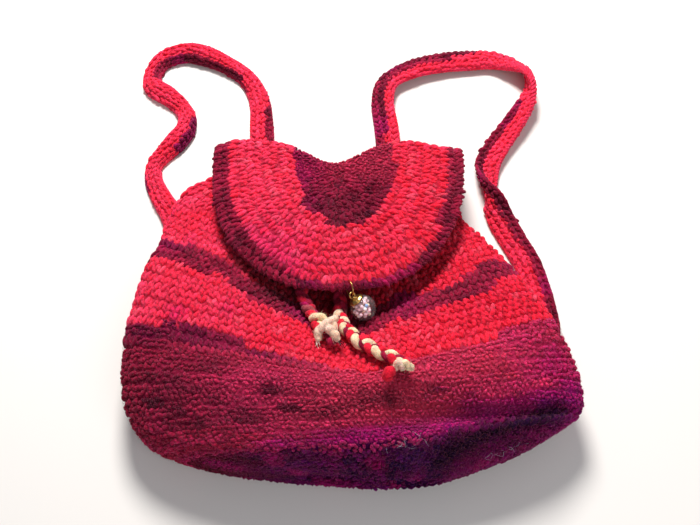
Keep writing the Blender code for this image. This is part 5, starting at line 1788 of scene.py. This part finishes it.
def glass_material():
    m = bpy.data.materials.new("clear_glass")
    m.use_nodes = True
    nt = m.node_tree
    b = nt.nodes["Principled BSDF"]
    b.inputs["Base Color"].default_value = (0.96, 0.97, 1.0, 1)
    b.inputs["Roughness"].default_value = 0.03
    b.inputs["IOR"].default_value = 1.5
    b.inputs["Specular IOR Level"].default_value = 0.9
    b.inputs["Coat Weight"].default_value = 1.0
    b.inputs["Coat Roughness"].default_value = 0.02
    lw = nt.nodes.new("ShaderNodeLayerWeight")
    lw.inputs["Blend"].default_value = 0.22
    ramp = nt.nodes.new("ShaderNodeMapRange")
    ramp.inputs["To Min"].default_value = 0.015
    ramp.inputs["To Max"].default_value = 0.12
    nt.links.new(lw.outputs["Facing"], ramp.inputs["Value"])
    nt.links.new(ramp.outputs[0], b.inputs["Alpha"])
    return m


GLASS = glass_material()
PEARL = pearl_material()
c_d, c_t = charm_frame()
r_t, r_w = ring_frame()


def torus_mesh(centre, axis, r, wire, major, minor, start=0.0, turn=2 * math.pi):
    x, y, z = basis(axis, (0.3, 0.9, 0.2))
    t = start + turn * np.arange(major) / major
    f = 2 * math.pi * np.arange(minor) / minor
    out = x * np.cos(t)[:, None] + y * np.sin(t)[:, None]
    v = (centre + out[:, None] * (r + wire * np.cos(f))[None, :, None] + z * (wire * np.sin(f))[None, :, None])
    i, j = np.meshgrid(np.arange(major), np.arange(minor), indexing="ij")
    a = (i * minor + j).ravel()
    b = (i * minor + (j + 1) % minor).ravel()
    c = (((i + 1) % major) * minor + (j + 1) % minor).ravel()
    d = (((i + 1) % major) * minor + j).ravel()
    return v.reshape(-1, 3), np.stack([a, b, c, d], 1)


def lathe_mesh(centre, axis, profile, sides, wave=None):
    """Profile rows (radius, distance); no poles, the ends are closed."""
    x, y, z = basis(axis, (0.3, 0.2, 0.9))
    t = 2 * math.pi * np.arange(sides) / sides
    out = x * np.cos(t)[:, None] + y * np.sin(t)[:, None]
    rows = []
    for i, (r, h) in enumerate(profile):
        rr = r * (1 + (wave(i, t) if wave else 0 * t))
        rows.append(centre + out * rr[:, None] + z * h)
    v = np.concatenate(rows)
    m = len(profile)
    i, j = np.meshgrid(np.arange(m - 1), np.arange(sides), indexing="ij")
    a = (i * sides + j).ravel()
    b = (i * sides + (j + 1) % sides).ravel()
    return v, np.stack([a, b, b + sides, a + sides], 1)


ring_centre = LINK + r_w * RING_R
v, f = torus_mesh(ring_centre, np.cross(r_t, r_w), RING_R, RING_WIRE, 96, 12)
ring_piece = add_mesh("split_ring", v, [f], GOLD)
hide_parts("ring")
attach(ring_piece, "bag")

loop_centre = LINK + LOOP_SHIFT
globe_centre = loop_centre + c_d * CHARM_REACH
loop_v, loop_f = torus_mesh(loop_centre, c_t, LOOP_R, LOOP_WIRE, 48, 12)
seat = GLOBE_R + GAP + 0.05
_in = lambda r: -math.sqrt(seat * seat - r * r)
crown = -(CHARM_REACH - LOOP_R + LOOP_WIRE * 0.4)
_outer = np.array([(0.02, crown), (0.8, crown + 0.02), (1.4, crown + 0.05), (1.9, crown + 0.22), (2.4, crown + 0.45),
                   (2.9, crown + 0.75), (3.4, _in(3.4) - 1.05), (4.0, _in(4.0) - 0.95), (4.6, _in(4.6) - 0.85),
                   (5.1, _in(5.1) - 0.70), (5.45, _in(5.45) - 0.62), (5.6, _in(5.6) - 0.42), (5.62, _in(5.6) - 0.1),
                   (5.6, _in(5.6) + 0.12), (5.35, _in(5.35) + 0.05), (5.0, _in(5.0)), (3.6, _in(3.6)), (1.8, _in(1.8)),
                   (0.02, _in(0.02))])
cap_v, cap_f = lathe_mesh(globe_centre, c_d, _outer, 96,
                          lambda i, t: (0.022 * np.cos(12 * t) if 6 <= i <= 12 else 0 * t))
cap_piece = add_mesh("gold_cap", np.vstack([cap_v, loop_v]), [np.vstack([cap_f, loop_f + len(cap_v)])], GOLD)
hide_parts("cap")

_g, _gi, _mouth = GLOBE_R, GLOBE_R - GLOBE_WALL, 3.4
_th = np.linspace(math.asin(_mouth / _g), math.pi - 0.001, 44)
_prof = [(_g * math.sin(q), -_g * math.cos(q)) for q in _th]
_prof += [(_gi * math.sin(q), -_gi * math.cos(q)) for q in _th[::-1]]
gv, gf = lathe_mesh(globe_centre, c_d, _prof, 72)
globe_piece = add_mesh("glass_globe", gv, [gf], GLASS)
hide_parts("globe")

# beads in the globe, settled against one side and leaving a clear margin
_rng = np.random.default_rng(7)
_fill_way = unit(np.array((-0.78, -0.16, -0.10)))
_beads, _rad = [], []
for _try in range(9000):
    p = _rng.uniform(-1, 1, 3) * 7.6
    r = 1.30 + 0.30 * _rng.random()
    if np.linalg.norm(p) > 8.35 - r or np.dot(p, c_d) < -4.6 or np.dot(p, _fill_way) < -4.2:
        continue
    if _beads and (np.linalg.norm(np.array(_beads) - p, axis=1) < np.array(_rad) + r - 0.12).any():
        continue
    _beads.append(p)
    _rad.append(r)
_beads, _rad = np.array(_beads), np.array(_rad)


def ball(rows=9, cols=14):
    th = np.linspace(0.02, math.pi - 0.02, rows)
    f = np.arange(cols) / cols * 2 * math.pi
    v = np.stack([np.sin(th)[:, None] * np.cos(f), np.sin(th)[:, None] * np.sin(f), np.cos(th)[:, None] + 0 * f], 2)
    i, j = np.meshgrid(np.arange(rows - 1), np.arange(cols), indexing="ij")
    a = (i * cols + j).ravel()
    b = (i * cols + (j + 1) % cols).ravel()
    return v.reshape(-1, 3), np.stack([a, b, b + cols, a + cols], 1)[:, ::-1]


bv, bf = ball()
pv = (globe_centre + _beads[:, None] + bv[None] * _rad[:, None, None]).reshape(-1, 3)
pf = (bf[None] + (np.arange(len(_beads)) * len(bv))[:, None, None]).reshape(-1, 4)
_choice = _rng.random(len(_beads))
_tone = np.where(_choice[:, None] < 0.50, srgb("#FFDCE8"), np.where(_choice[:, None] < 0.84, srgb("#FFFDFE"), srgb("#FCEACB")))
_blue = np.argmin(np.linalg.norm(_beads - np.array((4.0, -1.0, 5.5)), axis=1))
_tone[_blue] = srgb("#8FB4E8")
pearl_piece = add_mesh("pearly_beads", pv, [pf], PEARL, np.repeat(_tone, len(bv), axis=0))
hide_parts("pearls")
for ob in (cap_piece, globe_piece, pearl_piece):
    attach(ob, "charm")

# ------------------------------------------------------------- floor and light
floor_mesh = bpy.data.meshes.new("floor")
floor_mesh.from_pydata([(-4, -4, -0.0005), (4, -4, -0.0005), (4, 4, -0.0005), (-4, 4, -0.0005)], [], [(0, 1, 2, 3)])
floor = bpy.data.objects.new("floor", floor_mesh)
bpy.context.scene.collection.objects.link(floor)
floor_mat = bpy.data.materials.new("floor")
floor_mat.use_nodes = True
_b = floor_mat.node_tree.nodes["Principled BSDF"]
_b.inputs["Base Color"].default_value = (0.80, 0.79, 0.77, 1)
_b.inputs["Roughness"].default_value = 0.9
floor_mesh.materials.append(floor_mat)


def area_light(name, at, to, size, power, colour):
    data = bpy.data.lights.new(name, "AREA")
    data.shape = "DISK"
    data.size = size
    data.energy = power
    data.color = colour
    ob = bpy.data.objects.new(name, data)
    ob.location = at
    ob.rotation_euler = (Vector(to) - Vector(at)).to_track_quat("-Z", "Y").to_euler()
    bpy.context.scene.collection.objects.link(ob)
    return ob


area_light("key", (-0.08, 0.68, 0.84), (0.0, 0.0, 0.03), 0.36, 17.0, (1.0, 0.96, 0.92))
area_light("fill", (0.45, -0.75, 0.75), (0.0, -0.03, 0.03), 0.9, 4.2, (1.0, 0.96, 0.96))
world = bpy.data.worlds.new("studio")
bpy.context.scene.world = world
world.use_nodes = True
world.node_tree.nodes["Background"].inputs[0].default_value = (0.93, 0.94, 1.0, 1)
world.node_tree.nodes["Background"].inputs[1].default_value = 0.24
bpy.context.scene.view_settings.view_transform = "Standard"
